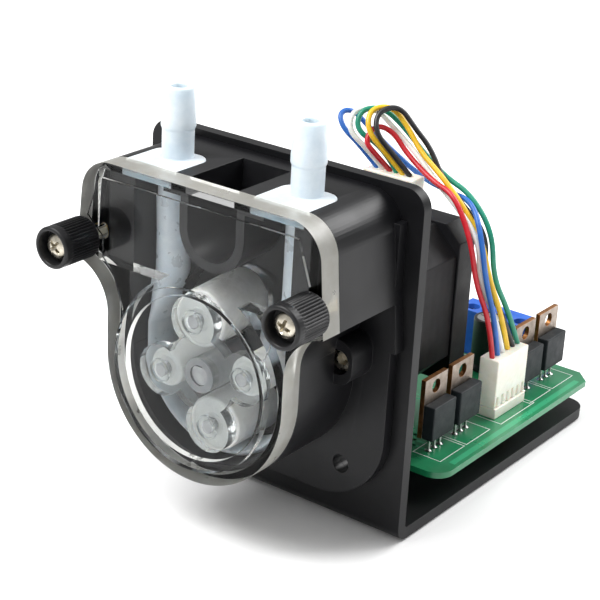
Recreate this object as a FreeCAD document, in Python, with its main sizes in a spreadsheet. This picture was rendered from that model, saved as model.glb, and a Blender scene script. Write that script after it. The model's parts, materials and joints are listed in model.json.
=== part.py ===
import FreeCAD, Part
import math
import os
import re

import Sketcher
from FreeCAD import Placement, Rotation, Vector

# A bench peristaltic pump: a pump head and a stepper motor on the two sides of an
# L-shaped bracket, with the driver board on the bracket's foot behind the plate.
# X runs along the plate, -Y points out of the pump head's clear cover, +Z is up.
# The origin is the middle of the foot's underside.

doc = FreeCAD.newDocument("peristaltic_pump")
sheet = doc.addObject("Spreadsheet::Sheet", "Sizes")

# ---------------------------------------------------------------- driving sizes (mm, degrees)

SIZES = {
    # bracket
    "bracket_width": 78.0,
    "plate_height": 87.2,
    "foot_length": 93.0,
    "sheet_gauge": 3.0,
    "bend_inner": 1.0,
    "corner_round": 5.0,
    "axis_height": 40.6,
    "foot_hole_radius": 1.65,
    "foot_hole_inset_x": 8.0,
    "foot_hole_inset_y": 10.0,
    # motor, a 42 mm frame stepper
    "motor_square": 42.3,
    "front_cap_length": 8.0,
    "stator_length": 36.2,
    "rear_cap_length": 7.2,
    "cap_chamfer": 4.4,
    "stator_inset": 0.6,
    "stator_chamfer": 7.0,
    "stator_bore_radius": 13.2,
    "air_gap": 0.2,
    "pilot_radius": 11.0,
    "pilot_height": 2.0,
    "shaft_radius": 2.5,
    "bearing_radius": 8.0,
    "bearing_width": 5.0,
    "motor_screw_spacing": 31.0,
    "motor_screw_radius": 1.5,
    # pump head
    "head_depth": 24.0,
    "head_top": 85.5,
    "shoulder_half": 33.0,
    "lug_half": 36.4,
    "drum_wall": 3.2,
    "flare_bottom": 49.0,
    "flare_radius": 12.0,
    "head_corner": 8.5,
    "flange_gauge": 3.0,
    "flange_half": 35.0,
    "flange_bottom": 8.2,
    "flange_corner": 18.0,
    "flange_hole_spacing": 47.14,
    "flange_hole_radius": 2.25,
    "track_radius": 22.3,
    "chamber_back": 3.5,
    "pocket_half": 6.8,
    "pocket_floor": 67.0,
    "pocket_back": 5.5,
    "pocket_round": 6.5,
    "pocket_wall": 2.3,
    "recess_top": 80.5,
    "channel_step": 18.0,
    "boss_outset": 0.8,
    "boss_z": 46.8,
    "boss_half_width": 4.0,
    "boss_half_height": 5.5,
    "boss_front": 11.0,
    "boss_recess_radius": 3.0,
    "boss_recess_depth": 5.0,
    # tube and hose barbs
    "tube_radius": 4.0,
    "tube_bore_radius": 2.4,
    "tube_depth": 14.9,
    "squeezed_gauge": 2.8,
    "squeezed_half_width": 5.4,
    "barb_top": 102.0,
    "barb_land_radius": 4.0,
    "barb_land_top": 94.2,
    "barb_land_length": 1.6,
    "barb_tip_radius": 3.4,
    "barb_neck_radius": 3.7,
    "barb_bore_radius": 1.9,
    "barb_flange_gauge": 2.2,
    "barb_flange_half": 7.2,
    "barb_flange_back": 10.8,
    "barb_flange_round": 4.2,
    "barb_collar_length": 2.3,
    "spigot_radius": 2.45,
    "spigot_length": 8.0,
    # rotor
    "rotor_phase": 12.0,
    "roller_radius": 6.7,
    "roller_length": 16.0,
    "roller_gap": 0.3,
    "guide_radius": 4.6,
    "guide_pitch": 12.0,
    "pin_radius": 1.6,
    "hub_radius": 4.2,
    "rotor_front": 26.9,
    "front_disc_gauge": 3.2,
    "rear_disc_gauge": 2.4,
    "disc_radius": 9.5,
    "lobe_radius": 6.2,
    "running_gap": 0.06,
    "side_gap": 0.3,
    # clear cover and thumb screws
    "cover_rim_depth": 6.0,
    "cover_panel_rise": 0.7,
    "cover_wall": 2.2,
    "cover_front_wall": 2.0,
    "panel_inset": 5.0,
    "panel_top_inset": 3.6,
    "window_radius": 21.8,
    "window_rise": 1.0,
    "knob_gap": 0.6,
    "thumb_x": 32.3,
    "thumb_z": 66.5,
    "cover_boss_radius": 2.4,
    "washer_radius": 3.6,
    "washer_gauge": 0.6,
    "knob_radius": 5.0,
    "knob_length": 10.9,
    "knob_recess_radius": 3.9,
    "knob_recess_depth": 3.1,
    "thumb_screw_radius": 1.4,
    "thumb_hole_radius": 1.6,
    "thumb_head_radius": 2.85,
    "thumb_head_length": 2.0,
    "thumb_screw_reach": 6.0,
    "insert_radius": 1.95,
    "insert_length": 7.0,
    # driver board
    "board_width": 76.0,
    "board_length": 76.7,
    "board_gauge": 1.6,
    "board_underside": 8.8,
    "board_right_gap": 0.2,
    "board_front_gap": 18.3,
    "board_front_round": 5.0,
    "board_rear_chamfer": 4.0,
    "standoff_radius": 2.75,
    "standoff_inset": 5.0,
    "standoff_right_x": 21.5,
    "part_gap": 0.2,
    # parts on the board
    "transistor_first": 25.2,
    "transistor_step": 12.2,
    "transistor_face": 31.2,
    "transistor_body_thickness": 4.5,
    "transistor_width": 10.0,
    "transistor_body_height": 9.1,
    "transistor_height": 15.6,
    "transistor_lift": 3.8,
    "tab_gauge": 1.3,
    "lead_pitch": 2.54,
    "lead_hole_radius": 0.55,
    "plug_face": 32.0,
    "plug_thickness": 5.6,
    "plug_length": 15.2,
    "plug_centre": 61.0,
    "plug_height": 13.4,
    "header_height": 2.8,
    "terminal_right": 22.3,
    "terminal_pitch": 5.08,
    "terminal_front_gap": 84.0,
    "motor_plug_height": 8.25,
    "wire_radius": 0.7,
}

# Places worked out from the driving sizes. They are measured from the plate's front face
# ("out" towards the cover, "back" towards the motor), from the pump axis, or in X and Z.
DERIVED = {
    "plate_front": "-foot_length / 2",
    "plate_back": "plate_front + sheet_gauge",
    "bend_outer": "bend_inner + sheet_gauge",
    "motor_half": "motor_square / 2",
    "stator_half": "motor_half - stator_inset",
    "motor_length": "front_cap_length + stator_length + rear_cap_length",
    "motor_end": "plate_back + motor_length",
    "motor_top": "axis_height + motor_half",
    "drum_radius": "track_radius + drum_wall",
    "boss_x": "drum_radius + boss_outset",
    "tube_x": "track_radius - tube_radius",
    "roller_pitch": "track_radius - squeezed_gauge - roller_gap - roller_radius",
    "roller_back": "rotor_front - front_disc_gauge - side_gap - roller_length",
    "rotor_back": "roller_back - side_gap - rear_disc_gauge",
    "flange_hole_half": "flange_hole_spacing / 2",
    "cover_front": "head_depth + cover_rim_depth",
    "window_front": "cover_front + cover_panel_rise + window_rise",
    "washer_front": "cover_front + washer_gauge",
    "board_top": "board_underside + board_gauge",
    "board_right": "bracket_width / 2 - board_right_gap",
    "board_left": "board_right - board_width",
    "board_front": "plate_front + board_front_gap",
    "board_rear": "board_front + board_length",
    "barb_flange_under": "head_top - barb_flange_gauge",
    "tube_top": "barb_flange_under - barb_collar_length",
    "terminal_front": "plate_front + terminal_front_gap",
}

for row, (alias, amount) in enumerate(SIZES.items(), start=1):
    sheet.set(f"A{row}", alias)
    sheet.set(f"B{row}", str(amount))
    sheet.setAlias(f"B{row}", alias)
doc.recompute()


def formula(text):
    """Spell out each size's name in a formula as a reference to its cell in the sheet."""
    def spell(match):
        word = match.group(0)
        if word in DERIVED:
            return "(" + formula(DERIVED[word]) + ")"
        return "Sizes." + word if word in SIZES else word
    return re.sub(r"[a-z][a-z_0-9]*", spell, str(text))


def size(text):
    """The present value of a size formula."""
    return float(sheet.evalExpression(formula(text)))


def bind(item, prop, text):
    """Tie a property of an object to a formula of sheet sizes."""
    item.setExpression(prop, formula(text))


# ---------------------------------------------------------------- building blocks

X, Y, Z = Vector(1, 0, 0), Vector(0, 1, 0), Vector(0, 0, 1)
TURN = {"x": Rotation(Z, X), "-x": Rotation(Z, -X), "y": Rotation(Z, Y), "-y": Rotation(Z, -Y), "z": Rotation()}
NODES = {}


def keep(item, label):
    """Name a finished sub-part; its label is the name of its file."""
    item.Label = label
    NODES[label] = item
    return item


def place(item, at, turn="z"):
    """Bind an object's position and set the way its own Z axis points."""
    item.Placement = Placement(Vector(), TURN[turn])
    for axis, text in zip("xyz", at):
        bind(item, "Placement.Base." + axis, text)
    return item


def box(name, low, high):
    """A block from its low corner to its high corner."""
    item = doc.addObject("Part::Box", name)
    for prop, start, end in zip(("Length", "Width", "Height"), low, high):
        bind(item, prop, f"({end}) - ({start})")
    return place(item, low)


def cylinder(name, radius, length, at, turn="z"):
    """A round bar from the point at, along the direction turn."""
    item = doc.addObject("Part::Cylinder", name)
    bind(item, "Radius", radius)
    bind(item, "Height", length)
    return place(item, at, turn)


def cone(name, radius_start, radius_end, length, at, turn="z"):
    item = doc.addObject("Part::Cone", name)
    bind(item, "Radius1", radius_start)
    bind(item, "Radius2", radius_end)
    bind(item, "Height", length)
    return place(item, at, turn)


def prism(name, sides, radius, length, at, turn="z"):
    """A regular prism, radius to its corners."""
    item = doc.addObject("Part::Prism", name)
    item.Polygon = sides
    bind(item, "Circumradius", radius)
    bind(item, "Height", length)
    return place(item, at, turn)


def fuse(name, *parts):
    item = doc.addObject("Part::MultiFuse", name)
    item.Shapes = list(parts)
    item.Refine = True
    return item


def cut(name, base, *tools):
    item = doc.addObject("Part::Cut", name)
    item.Base = base
    item.Tool = tools[0] if len(tools) == 1 else fuse(name + "_tools", *tools)
    item.Refine = True
    return item


def group(name, *parts):
    """Separate solids that share one node."""
    item = doc.addObject("Part::Compound", name)
    item.Links = list(parts)
    return item


def plane(body, role):
    return next(feature for feature in body.Origin.OriginFeatures if feature.Role == role)


def new_body(label):
    return keep(doc.addObject("PartDesign::Body", label), label)


def sketch_on(body, name, role, offset="0"):
    """A sketch on one of the body's origin planes, moved along the plane's normal."""
    sketch = body.newObject("Sketcher::SketchObject", name)
    sketch.AttachmentSupport = [(plane(body, role), "")]
    sketch.MapMode = "FlatFace"
    bind(sketch, "AttachmentOffset.Base.z", offset)
    return sketch


def pin_point(sketch, shape, end, at):
    """Hold one point of a sketch line or circle at a place given by two formulas."""
    for kind, text in zip(("DistanceX", "DistanceY"), at):
        index = sketch.addConstraint(Sketcher.Constraint(kind, -1, 1, shape, end, size(text)))
        bind(sketch, f"Constraints[{index}]", text)


def draw_polygon(sketch, corners):
    """A closed outline whose corners are pairs of size formulas."""
    points = [Vector(size(across), size(up), 0) for across, up in corners]
    count = len(points)
    lines = [sketch.addGeometry(Part.LineSegment(points[i], points[(i + 1) % count]), False) for i in range(count)]
    for i, line in enumerate(lines):
        sketch.addConstraint(Sketcher.Constraint("Coincident", line, 2, lines[(i + 1) % count], 1))
        pin_point(sketch, line, 1, corners[i])


def draw_rectangle(sketch, left, bottom, right, top):
    draw_polygon(sketch, [(left, bottom), (right, bottom), (right, top), (left, top)])


def draw_circle(sketch, at, radius):
    centre = Vector(size(at[0]), size(at[1]), 0)
    circle = sketch.addGeometry(Part.Circle(centre, Vector(0, 0, 1), size(radius)), False)
    pin_point(sketch, circle, 3, at)
    index = sketch.addConstraint(Sketcher.Constraint("Radius", circle, size(radius)))
    bind(sketch, f"Constraints[{index}]", radius)


def pad(body, sketch, length, reverse=False, midplane=False):
    feature = body.newObject("PartDesign::Pad", "Pad")
    feature.Profile = sketch
    bind(feature, "Length", length)
    feature.Reversed = reverse
    feature.Midplane = midplane
    doc.recompute()
    return feature


def pocket(body, sketch, length=None, reverse=False):
    """Cut a sketch into the body, to a depth or right through, and make sure that it cuts."""
    before = body.Shape.Volume
    feature = body.newObject("PartDesign::Pocket", "Pocket")
    feature.Profile = sketch
    feature.Reversed = reverse
    if length is None:
        feature.Type = "ThroughAll"
    else:
        bind(feature, "Length", length)
    doc.recompute()
    if body.Shape.Volume >= before - 1e-6:
        raise RuntimeError(f"{body.Label}: {sketch.Name} cuts nothing")
    return feature


def revolve(body, sketch, axis):
    feature = body.newObject("PartDesign::Revolution", "Revolution")
    feature.Profile = sketch
    feature.ReferenceAxis = (sketch, [axis])
    feature.Angle = 360
    doc.recompute()
    return feature


def edges_through(shape, spots, tolerance=0.02):
    """The names of the edges that pass through the given points."""
    names = []
    for spot in spots:
        near = [i for i, edge in enumerate(shape.Edges, 1) if edge.distToShape(Part.Vertex(spot))[0] < tolerance]
        names += [f"Edge{i}" for i in near]
    return sorted(set(names), key=lambda name: int(name[4:]))


def dress(body, kind, prop, amount, spots):
    """Fillet or chamfer the edges of the body that pass through the given points."""
    base = body.Tip
    names = edges_through(base.Shape, spots)
    if not names:
        raise RuntimeError(f"{body.Label}: no edge to dress")
    feature = body.newObject("PartDesign::" + kind, kind)
    feature.Base = (base, names)
    bind(feature, prop, amount)
    doc.recompute()
    return feature


def fillet(body, radius, spots):
    return dress(body, "Fillet", "Radius", radius, spots)


def chamfer(body, amount, spots):
    return dress(body, "Chamfer", "Size", amount, spots)


def out(distance):
    """The Y of a point this far in front of the plate's front face."""
    return f"plate_front - ({distance})"


def both_sides(build):
    """Call build for the left side (-1) and the right side (+1)."""
    return [build(side, name) for side, name in ((-1, "left"), (1, "right"))]


def corners_of_square(half):
    return [(f"{i} * ({half})", f"{k} * ({half})") for i in (-1, 1) for k in (-1, 1)]


# ---------------------------------------------------------------- bracket

def make_bracket():
    """One bent sheet: a foot along Y, a bend of its own radius, and an upright plate."""
    body = new_body("l_bracket")
    side = sketch_on(body, "bracket_side", "YZ_Plane")
    draw_polygon(side, [
        ("plate_front", "0"),
        ("foot_length / 2", "0"),
        ("foot_length / 2", "sheet_gauge"),
        ("plate_back", "sheet_gauge"),
        ("plate_back", "plate_height"),
        ("plate_front", "plate_height"),
    ])
    pad(body, side, "bracket_width", midplane=True)
    front, back, end = size("plate_front"), size("plate_back"), size("foot_length / 2")
    half, gauge, top = size("bracket_width / 2"), size("sheet_gauge"), size("plate_height")
    fillet(body, "bend_outer", [Vector(0, front, 0)])
    fillet(body, "bend_inner", [Vector(0, back, gauge)])
    fillet(body, "corner_round", [Vector(i * half, end, gauge / 2) for i in (-1, 1)])
    fillet(body, "corner_round", [Vector(i * half, front + gauge / 2, top) for i in (-1, 1)])

    plate_holes = sketch_on(body, "plate_holes", "XZ_Plane", "foot_length / 2")
    draw_circle(plate_holes, ("0", "axis_height"), "pilot_radius + running_gap")
    for across, up in corners_of_square("motor_screw_spacing / 2"):
        draw_circle(plate_holes, (across, f"axis_height + {up}"), "motor_screw_radius + 0.2")
    for i in (-1, 1):
        draw_circle(plate_holes, (f"{i} * flange_hole_half", "axis_height - flange_hole_half"), "flange_hole_radius")
        draw_circle(plate_holes, (f"{i} * boss_x", "boss_z"), "motor_screw_radius + 0.2")
    pocket(body, plate_holes, "sheet_gauge")

    countersinks = sketch_on(body, "countersinks", "XZ_Plane", "foot_length / 2")
    for across, up in corners_of_square("motor_screw_spacing / 2"):
        draw_circle(countersinks, (across, f"axis_height + {up}"), "motor_screw_radius * 2 + 0.1")
    pocket(body, countersinks, "1.8")

    foot_holes = sketch_on(body, "foot_holes", "XY_Plane")
    for i in (-1, 1):
        for k in (-1, 1):
            across = f"{i} * (bracket_width / 2 - foot_hole_inset_x)"
            draw_circle(foot_holes, (across, f"{k} * (foot_length / 2 - foot_hole_inset_y)"), "foot_hole_radius")
    for across, along in standoff_places():
        draw_circle(foot_holes, (across, along), "motor_screw_radius")
    pocket(body, foot_holes, "sheet_gauge", reverse=True)


def standoff_places():
    """The four board supports, as X and Y formulas; the rear right one stands clear of the terminals."""
    left, front = "board_left + standoff_inset", "board_front + standoff_inset"
    return [
        (left, front),
        (left, "board_rear - standoff_inset"),
        ("standoff_right_x", front),
        ("standoff_right_x", "terminal_front - standoff_radius - part_gap - 4"),
    ]


# ---------------------------------------------------------------- motor

def octagon(half, chamfer_leg, centre):
    """The corners of a square with cut corners, around a height."""
    short = f"({half} - {chamfer_leg})"
    walk = [(half, short), (short, half), (f"-{short}", half), (f"-({half})", short),
            (f"-({half})", f"-{short}"), (f"-{short}", f"-({half})"), (short, f"-({half})"), (half, f"-{short}")]
    return [(across, f"{centre} + {up}") for across, up in walk]


def motor_section(label, start, length, half, chamfer_leg):
    """A length of the motor's body, square with cut corners, from start towards the rear."""
    body = new_body(label)
    outline = sketch_on(body, label + "_outline", "XZ_Plane", f"-({start})")
    draw_polygon(outline, octagon(half, chamfer_leg, "axis_height"))
    pad(body, outline, length, reverse=True)
    return body


def bore_along_axis(body, name, start, radius, depth):
    """A round hole on the motor's axis, from the plane start towards the rear."""
    hole = sketch_on(body, name, "XZ_Plane", f"-({start})")
    draw_circle(hole, ("0", "axis_height"), radius)
    pocket(body, hole, depth)


def make_motor():
    cap = motor_section("motor_front_cap", "plate_back", "front_cap_length", "motor_half", "cap_chamfer")
    pilot = sketch_on(cap, "pilot", "XZ_Plane", "-(plate_back)")
    draw_circle(pilot, ("0", "axis_height"), "pilot_radius")
    pad(cap, pilot, "pilot_height")
    bore_along_axis(cap, "shaft_bore", "plate_back - pilot_height", "shaft_radius + 0.8", "front_cap_length + pilot_height")
    bore_along_axis(cap, "bearing_seat", "plate_back + 2", "bearing_radius", "front_cap_length")
    screws = sketch_on(cap, "screw_holes", "XZ_Plane", "-(plate_back)")
    for across, up in corners_of_square("motor_screw_spacing / 2"):
        draw_circle(screws, (across, f"axis_height + {up}"), "motor_screw_radius")
    pocket(cap, screws, "front_cap_length")

    start = "plate_back + front_cap_length"
    stator = motor_section("motor_stator", start, "stator_length", "stator_half", "stator_chamfer")
    bore_along_axis(stator, "stator_bore", start, "stator_bore_radius", "stator_length")

    start = "plate_back + front_cap_length + stator_length"
    rear = motor_section("motor_rear_cap", start, "rear_cap_length", "motor_half", "cap_chamfer")
    bore_along_axis(rear, "rear_bearing_seat", start, "bearing_radius", "rear_cap_length - 1")
    case = sketch_on(rear, "case_screw_holes", "XZ_Plane", "-(motor_end)")
    for across, up in corners_of_square("motor_screw_spacing / 2"):
        draw_circle(case, (across, f"axis_height + {up}"), "motor_screw_radius + 0.05")
    pocket(rear, case, "rear_cap_length", reverse=True)

    core = cylinder("core_bar", "stator_bore_radius - air_gap", "stator_length - 6",
                    ("0", "plate_back + front_cap_length + 3", "axis_height"), "y")
    core_hole = cylinder("core_hole", "shaft_radius", "stator_length",
                         ("0", "plate_back + front_cap_length + 2", "axis_height"), "y")
    keep(cut("core", core, core_hole), "motor_rotor_core")

    shaft = cylinder("shaft_bar", "shaft_radius", "rotor_front - 0.4 + sheet_gauge + motor_length - 1.4",
                     ("0", out("rotor_front - 0.4"), "axis_height"), "y")
    flat = box("shaft_flat", ("-shaft_radius", out("rotor_front"), "axis_height + shaft_radius - 0.5"),
               ("shaft_radius", out("chamber_back + 2"), "axis_height + shaft_radius + 1"))
    keep(cut("shaft", shaft, flat), "motor_shaft")

    bearings = []
    for end, start in (("front", "plate_back + 2"), ("rear", "plate_back + front_cap_length + stator_length")):
        ring = cylinder(end + "_ring", "bearing_radius", "bearing_width", ("0", start, "axis_height"), "y")
        bore = cylinder(end + "_bore", "shaft_radius + running_gap", "bearing_width + 2",
                        ("0", f"{start} - 1", "axis_height"), "y")
        bearings.append(cut(end + "_bearing", ring, bore))
    keep(group("bearings", *bearings), "motor_bearings")


def make_motor_screws():
    """Countersunk screws hold the motor to the plate, and pan heads close the rear cap."""
    mounts, cases = [], []
    for n, (across, up) in enumerate(corners_of_square("motor_screw_spacing / 2")):
        height = f"axis_height + {up}"
        head = cone(f"mount_head_{n}", "motor_screw_radius * 2", "motor_screw_radius", "1.6",
                    (across, "plate_front + 0.1", height), "y")
        shank = cylinder(f"mount_shank_{n}", "motor_screw_radius", "sheet_gauge + 5",
                         (across, "plate_front + 1", height), "y")
        socket = prism(f"mount_socket_{n}", 6, "1.15", "1.2", (across, "plate_front + 0.1", height), "y")
        mounts.append(cut(f"mount_screw_{n}", fuse(f"mount_body_{n}", head, shank), socket))
        head = cylinder(f"case_head_{n}", "motor_screw_radius * 1.85", "1.8", (across, "motor_end", height), "y")
        shank = cylinder(f"case_shank_{n}", "motor_screw_radius", "rear_cap_length",
                         (across, "motor_end - rear_cap_length + 0.5", height), "y")
        cross = [box(f"case_slot_{n}_{k}", (f"{across} - {a}", "motor_end + 0.9", f"{height} - {b}"),
                     (f"{across} + {a}", "motor_end + 3", f"{height} + {b}"))
                 for k, (a, b) in enumerate(((1.6, 0.3), (0.3, 1.6)))]
        cases.append(cut(f"case_screw_{n}", fuse(f"case_body_{n}", head, shank), *cross))
    keep(group("mount_screws", *mounts), "motor_mount_screws")
    keep(group("case_screws", *cases), "motor_case_screws")


# ---------------------------------------------------------------- pump head

def pad_head_outline(body, start, depth):
    """The head's front outline: a drum and its neck, which flares out to two lugs, from the plane start."""
    block = sketch_on(body, "block", "XZ_Plane", f"-({start})")
    draw_polygon(block, [
        ("-lug_half", "flare_bottom"),
        ("lug_half", "flare_bottom"),
        ("shoulder_half", "head_top"),
        ("-shoulder_half", "head_top"),
    ])
    pad(body, block, depth)
    neck = sketch_on(body, "neck", "XZ_Plane", f"-({start})")
    draw_rectangle(neck, "-(drum_radius)", "axis_height", "drum_radius", "flare_bottom + 1")
    pad(body, neck, depth)
    drum = sketch_on(body, "drum", "XZ_Plane", f"-({start})")
    draw_circle(drum, ("0", "axis_height"), "drum_radius")
    pad(body, drum, depth)


def cut_flares(body, front, depth):
    """The hollow arcs that join the neck to the lugs, cut back from the plane front."""
    for i in (-1, 1):
        flare = sketch_on(body, "flare", "XZ_Plane", f"-({front})")
        draw_circle(flare, (f"{i} * (drum_radius + flare_radius)", "flare_bottom"), "flare_radius")
        pocket(body, flare, depth)


def head_corners(y):
    """Points on the two top edges of the outline."""
    return [Vector(i * size("shoulder_half"), y, size("head_top")) for i in (-1, 1)]


def channel_half():
    """Half the width of the slot that a length of tube lies in."""
    return "(tube_radius + 0.15)"


def cut_front_recess(body, front):
    """The hollow behind the cover that the tube's uprights stand in, round the top pocket's U-shaped wall."""
    side, wall_half = "(track_radius + 0.15)", "(pocket_half + pocket_wall)"
    wall_floor = "(pocket_floor - pocket_wall)"
    recess = sketch_on(body, "front_recess", "XZ_Plane", front)
    draw_polygon(recess, [
        (f"-{side}", "axis_height"),
        (side, "axis_height"),
        (side, "recess_top"),
        (wall_half, "recess_top"),
        (wall_half, wall_floor),
        (f"-{wall_half}", wall_floor),
        (f"-{wall_half}", "recess_top"),
        (f"-{side}", "recess_top"),
    ])
    pocket(body, recess, "head_depth - tube_depth + tube_radius + 0.05")
    middle = size(out("head_depth - 2"))
    fillet(body, "pocket_round + pocket_wall",
           [Vector(i * size(wall_half), middle, size(wall_floor)) for i in (-1, 1)])


def make_housing():
    body = new_body("pump_housing")
    flange = sketch_on(body, "flange", "XZ_Plane", "-(plate_front)")
    draw_rectangle(flange, "-flange_half", "flange_bottom", "flange_half", "head_top - 6")
    pad(body, flange, "flange_gauge")
    middle = size(out("flange_gauge / 2"))
    half, bottom = size("flange_half"), size("flange_bottom")
    fillet(body, "flange_corner", [Vector(i * half, middle, bottom) for i in (-1, 1)])
    pad_head_outline(body, "plate_front", "head_depth")
    cut_flares(body, out("head_depth"), "head_depth - flange_gauge")
    fillet(body, "head_corner", head_corners(size(out("head_depth - 1"))))

    for i in (-1, 1):
        boss = sketch_on(body, "boss", "XZ_Plane", "-(plate_front)")
        draw_rectangle(boss, f"{i} * boss_x - boss_half_width", "boss_z - boss_half_height",
                       f"{i} * boss_x + boss_half_width", "boss_z + boss_half_height")
        pad(body, boss, "boss_front")
    middle = size(out("boss_front - 2"))
    across, up = size("boss_x + boss_half_width"), size("boss_half_height")
    fillet(body, "boss_half_width - 0.1", [Vector(i * across, middle, size("boss_z") + k * up)
                                           for i in (-1, 1) for k in (-1, 1)])

    front = f"-({out('head_depth')})"
    chamber = sketch_on(body, "chamber", "XZ_Plane", front)
    draw_circle(chamber, ("0", "axis_height"), "track_radius")
    pocket(body, chamber, "head_depth - chamber_back")
    for i in (-1, 1):
        slot = sketch_on(body, "barb_slot", "XZ_Plane", front)
        draw_rectangle(slot, f"{i} * tube_x - barb_flange_half - 0.1", "barb_flange_under - 0.02",
                       f"{i} * tube_x + barb_flange_half + 0.1", "head_top + 1")
        pocket(body, slot, "head_depth - barb_flange_back + 0.1")
        slot_back, slot_middle = size(out("barb_flange_back - 0.1")), size("head_top - barb_flange_gauge / 2")
        fillet(body, "barb_flange_round", [Vector(size(f"{i} * tube_x + {k} * (barb_flange_half + 0.1)"),
                                                  slot_back, slot_middle) for k in (-1, 1)])
        inner, outer = f"tube_x - {channel_half()}", "track_radius + 0.15"
        left, right = (inner, outer) if i > 0 else (f"-({outer})", f"-({inner})")
        wide = sketch_on(body, "squeezed_channel", "XZ_Plane", front)
        draw_rectangle(wide, left, "axis_height", right, "axis_height + channel_step")
        pocket(body, wide, "head_depth - tube_depth + squeezed_half_width + 0.3")
        upright = sketch_on(body, "upright_channel", "XZ_Plane", front)
        draw_rectangle(upright, left, "recess_top - 1", right, "head_top - 1")
        pocket(body, upright, "head_depth - tube_depth + tube_radius + 0.05")

    top_pocket = sketch_on(body, "top_pocket", "XZ_Plane", front)
    draw_rectangle(top_pocket, "-pocket_half", "pocket_floor", "pocket_half", "head_top + 1")
    pocket(body, top_pocket, "head_depth - pocket_back")
    deep = size(out("head_depth - 2"))
    floor, side = size("pocket_floor"), size("pocket_half")
    fillet(body, "pocket_round", [Vector(i * side, deep, floor) for i in (-1, 1)])
    cut_front_recess(body, front)

    inserts = sketch_on(body, "insert_holes", "XZ_Plane", front)
    recesses = sketch_on(body, "boss_recesses", "XZ_Plane", f"-({out('boss_front')})")
    for i in (-1, 1):
        draw_circle(inserts, (f"{i} * thumb_x", "thumb_z"), "insert_radius")
        draw_circle(recesses, (f"{i} * boss_x", "boss_z"), "boss_recess_radius")
    pocket(body, inserts, "insert_length + 2")
    pocket(body, recesses, "boss_recess_depth")

    through = sketch_on(body, "through_holes", "XZ_Plane", "-(plate_front)")
    draw_circle(through, ("0", "axis_height"), "hub_radius + 1")
    for i in (-1, 1):
        draw_circle(through, (f"{i} * boss_x", "boss_z"), "motor_screw_radius + 0.2")
        draw_circle(through, (f"{i} * flange_hole_half", "axis_height - flange_hole_half"), "flange_hole_radius")
    pocket(body, through, "boss_front", reverse=True)


def make_cover():
    """The clear cover: a rim with a raised front panel, hollow behind, and two screw bosses."""
    body = new_body("front_cover")
    pad_head_outline(body, out("head_depth"), "cover_rim_depth")
    cut_flares(body, out("cover_front"), "cover_rim_depth")
    fillet(body, "head_corner", head_corners(size(out("head_depth + 1"))))
    panel = sketch_on(body, "panel_block", "XZ_Plane", f"-({out('cover_front')})")
    draw_polygon(panel, panel_corners())
    pad(body, panel, "cover_panel_rise")
    window = sketch_on(body, "window", "XZ_Plane", f"-({out('cover_front')})")
    draw_circle(window, ("0", "axis_height"), "window_radius")
    pad(body, window, "cover_panel_rise + window_rise")

    rear = f"-({out('head_depth')})"
    hollow = sketch_on(body, "rim_hollow", "XZ_Plane", rear)
    draw_circle(hollow, ("0", "axis_height"), "drum_radius - cover_wall")
    pocket(body, hollow, "cover_rim_depth - cover_front_wall", reverse=True)
    hollow = sketch_on(body, "block_hollow", "XZ_Plane", rear)
    half = "(shoulder_half - cover_wall - 1)"
    draw_rectangle(hollow, f"-{half}", "flare_bottom + flare_radius", half, "head_top - cover_wall")
    pocket(body, hollow, "cover_rim_depth - cover_front_wall", reverse=True)
    hollow = sketch_on(body, "panel_hollow", "XZ_Plane", rear)
    draw_circle(hollow, ("0", "axis_height"), "window_radius - cover_wall")
    pocket(body, hollow, "window_front - head_depth - cover_front_wall", reverse=True)

    bosses = sketch_on(body, "thumb_bosses", "XZ_Plane", rear)
    holes = sketch_on(body, "thumb_holes", "XZ_Plane", rear)
    for i in (-1, 1):
        draw_circle(bosses, (f"{i} * thumb_x", "thumb_z"), "cover_boss_radius")
        draw_circle(holes, (f"{i} * thumb_x", "thumb_z"), "thumb_hole_radius")
    pad(body, bosses, "cover_rim_depth - 0.5")
    pocket(body, holes, "cover_rim_depth + 1", reverse=True)


def panel_corners():
    """The raised panel's outline: set in from the rim, and stepped in beside each knob."""
    side, neck = "(lug_half - panel_inset)", "(drum_radius - panel_inset)"
    beside = "(thumb_x - knob_radius - knob_gap)"
    right = [
        (neck, "axis_height"),
        (neck, "flare_bottom + 3"),
        (f"{neck} + 3", "flare_bottom + flare_radius - 1"),
        (beside, "flare_bottom + flare_radius + 2"),
        (beside, "thumb_z + 1.5"),
        (side, "thumb_z + knob_radius + knob_gap"),
        ("shoulder_half - panel_inset", "head_top - panel_top_inset"),
    ]
    return right + [(f"-({across})", up) for across, up in reversed(right)]


# ---------------------------------------------------------------- tube and hose barbs

def ring_section(across, height, half_thickness, half_width):
    """An upright tube's cross-section at a height, its long way along Y."""
    centre = Vector(across, size(out("tube_depth")), height)
    curve = Part.Ellipse(centre + Vector(0, half_width, 0), centre + Vector(half_thickness, 0, 0), centre)
    return Part.Wire([curve.toShape()])


def u_shape(round_radius, flat_half_thickness, flat_half_width):
    """Two round uprights that flatten into a strip along the lower half of the track."""
    axis = size("axis_height")
    top, round_end, flat_end = size("tube_top"), axis + 17.0, axis + 5.0
    flat_x = size("track_radius - squeezed_gauge / 2") - 0.02
    round_x = size("tube_x")
    pieces = []
    for side in (-1, 1):
        upright = ring_section(side * round_x, round_end, round_radius * 0.9999, round_radius)
        pieces.append(Part.Face(upright).extrude(Vector(0, 0, top - round_end)))
        strip = ring_section(side * flat_x, flat_end, flat_half_thickness, flat_half_width)
        pieces.append(Part.makeLoft([strip, upright], True, True))
        pieces.append(Part.Face(strip).extrude(Vector(0, 0, axis - flat_end)))
    start = Part.Face(ring_section(flat_x, axis, flat_half_thickness, flat_half_width))
    pieces.append(start.revolve(Vector(0, 0, axis), Y, 180))
    return pieces[0].multiFuse(pieces[1:]).removeSplitter()


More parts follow.
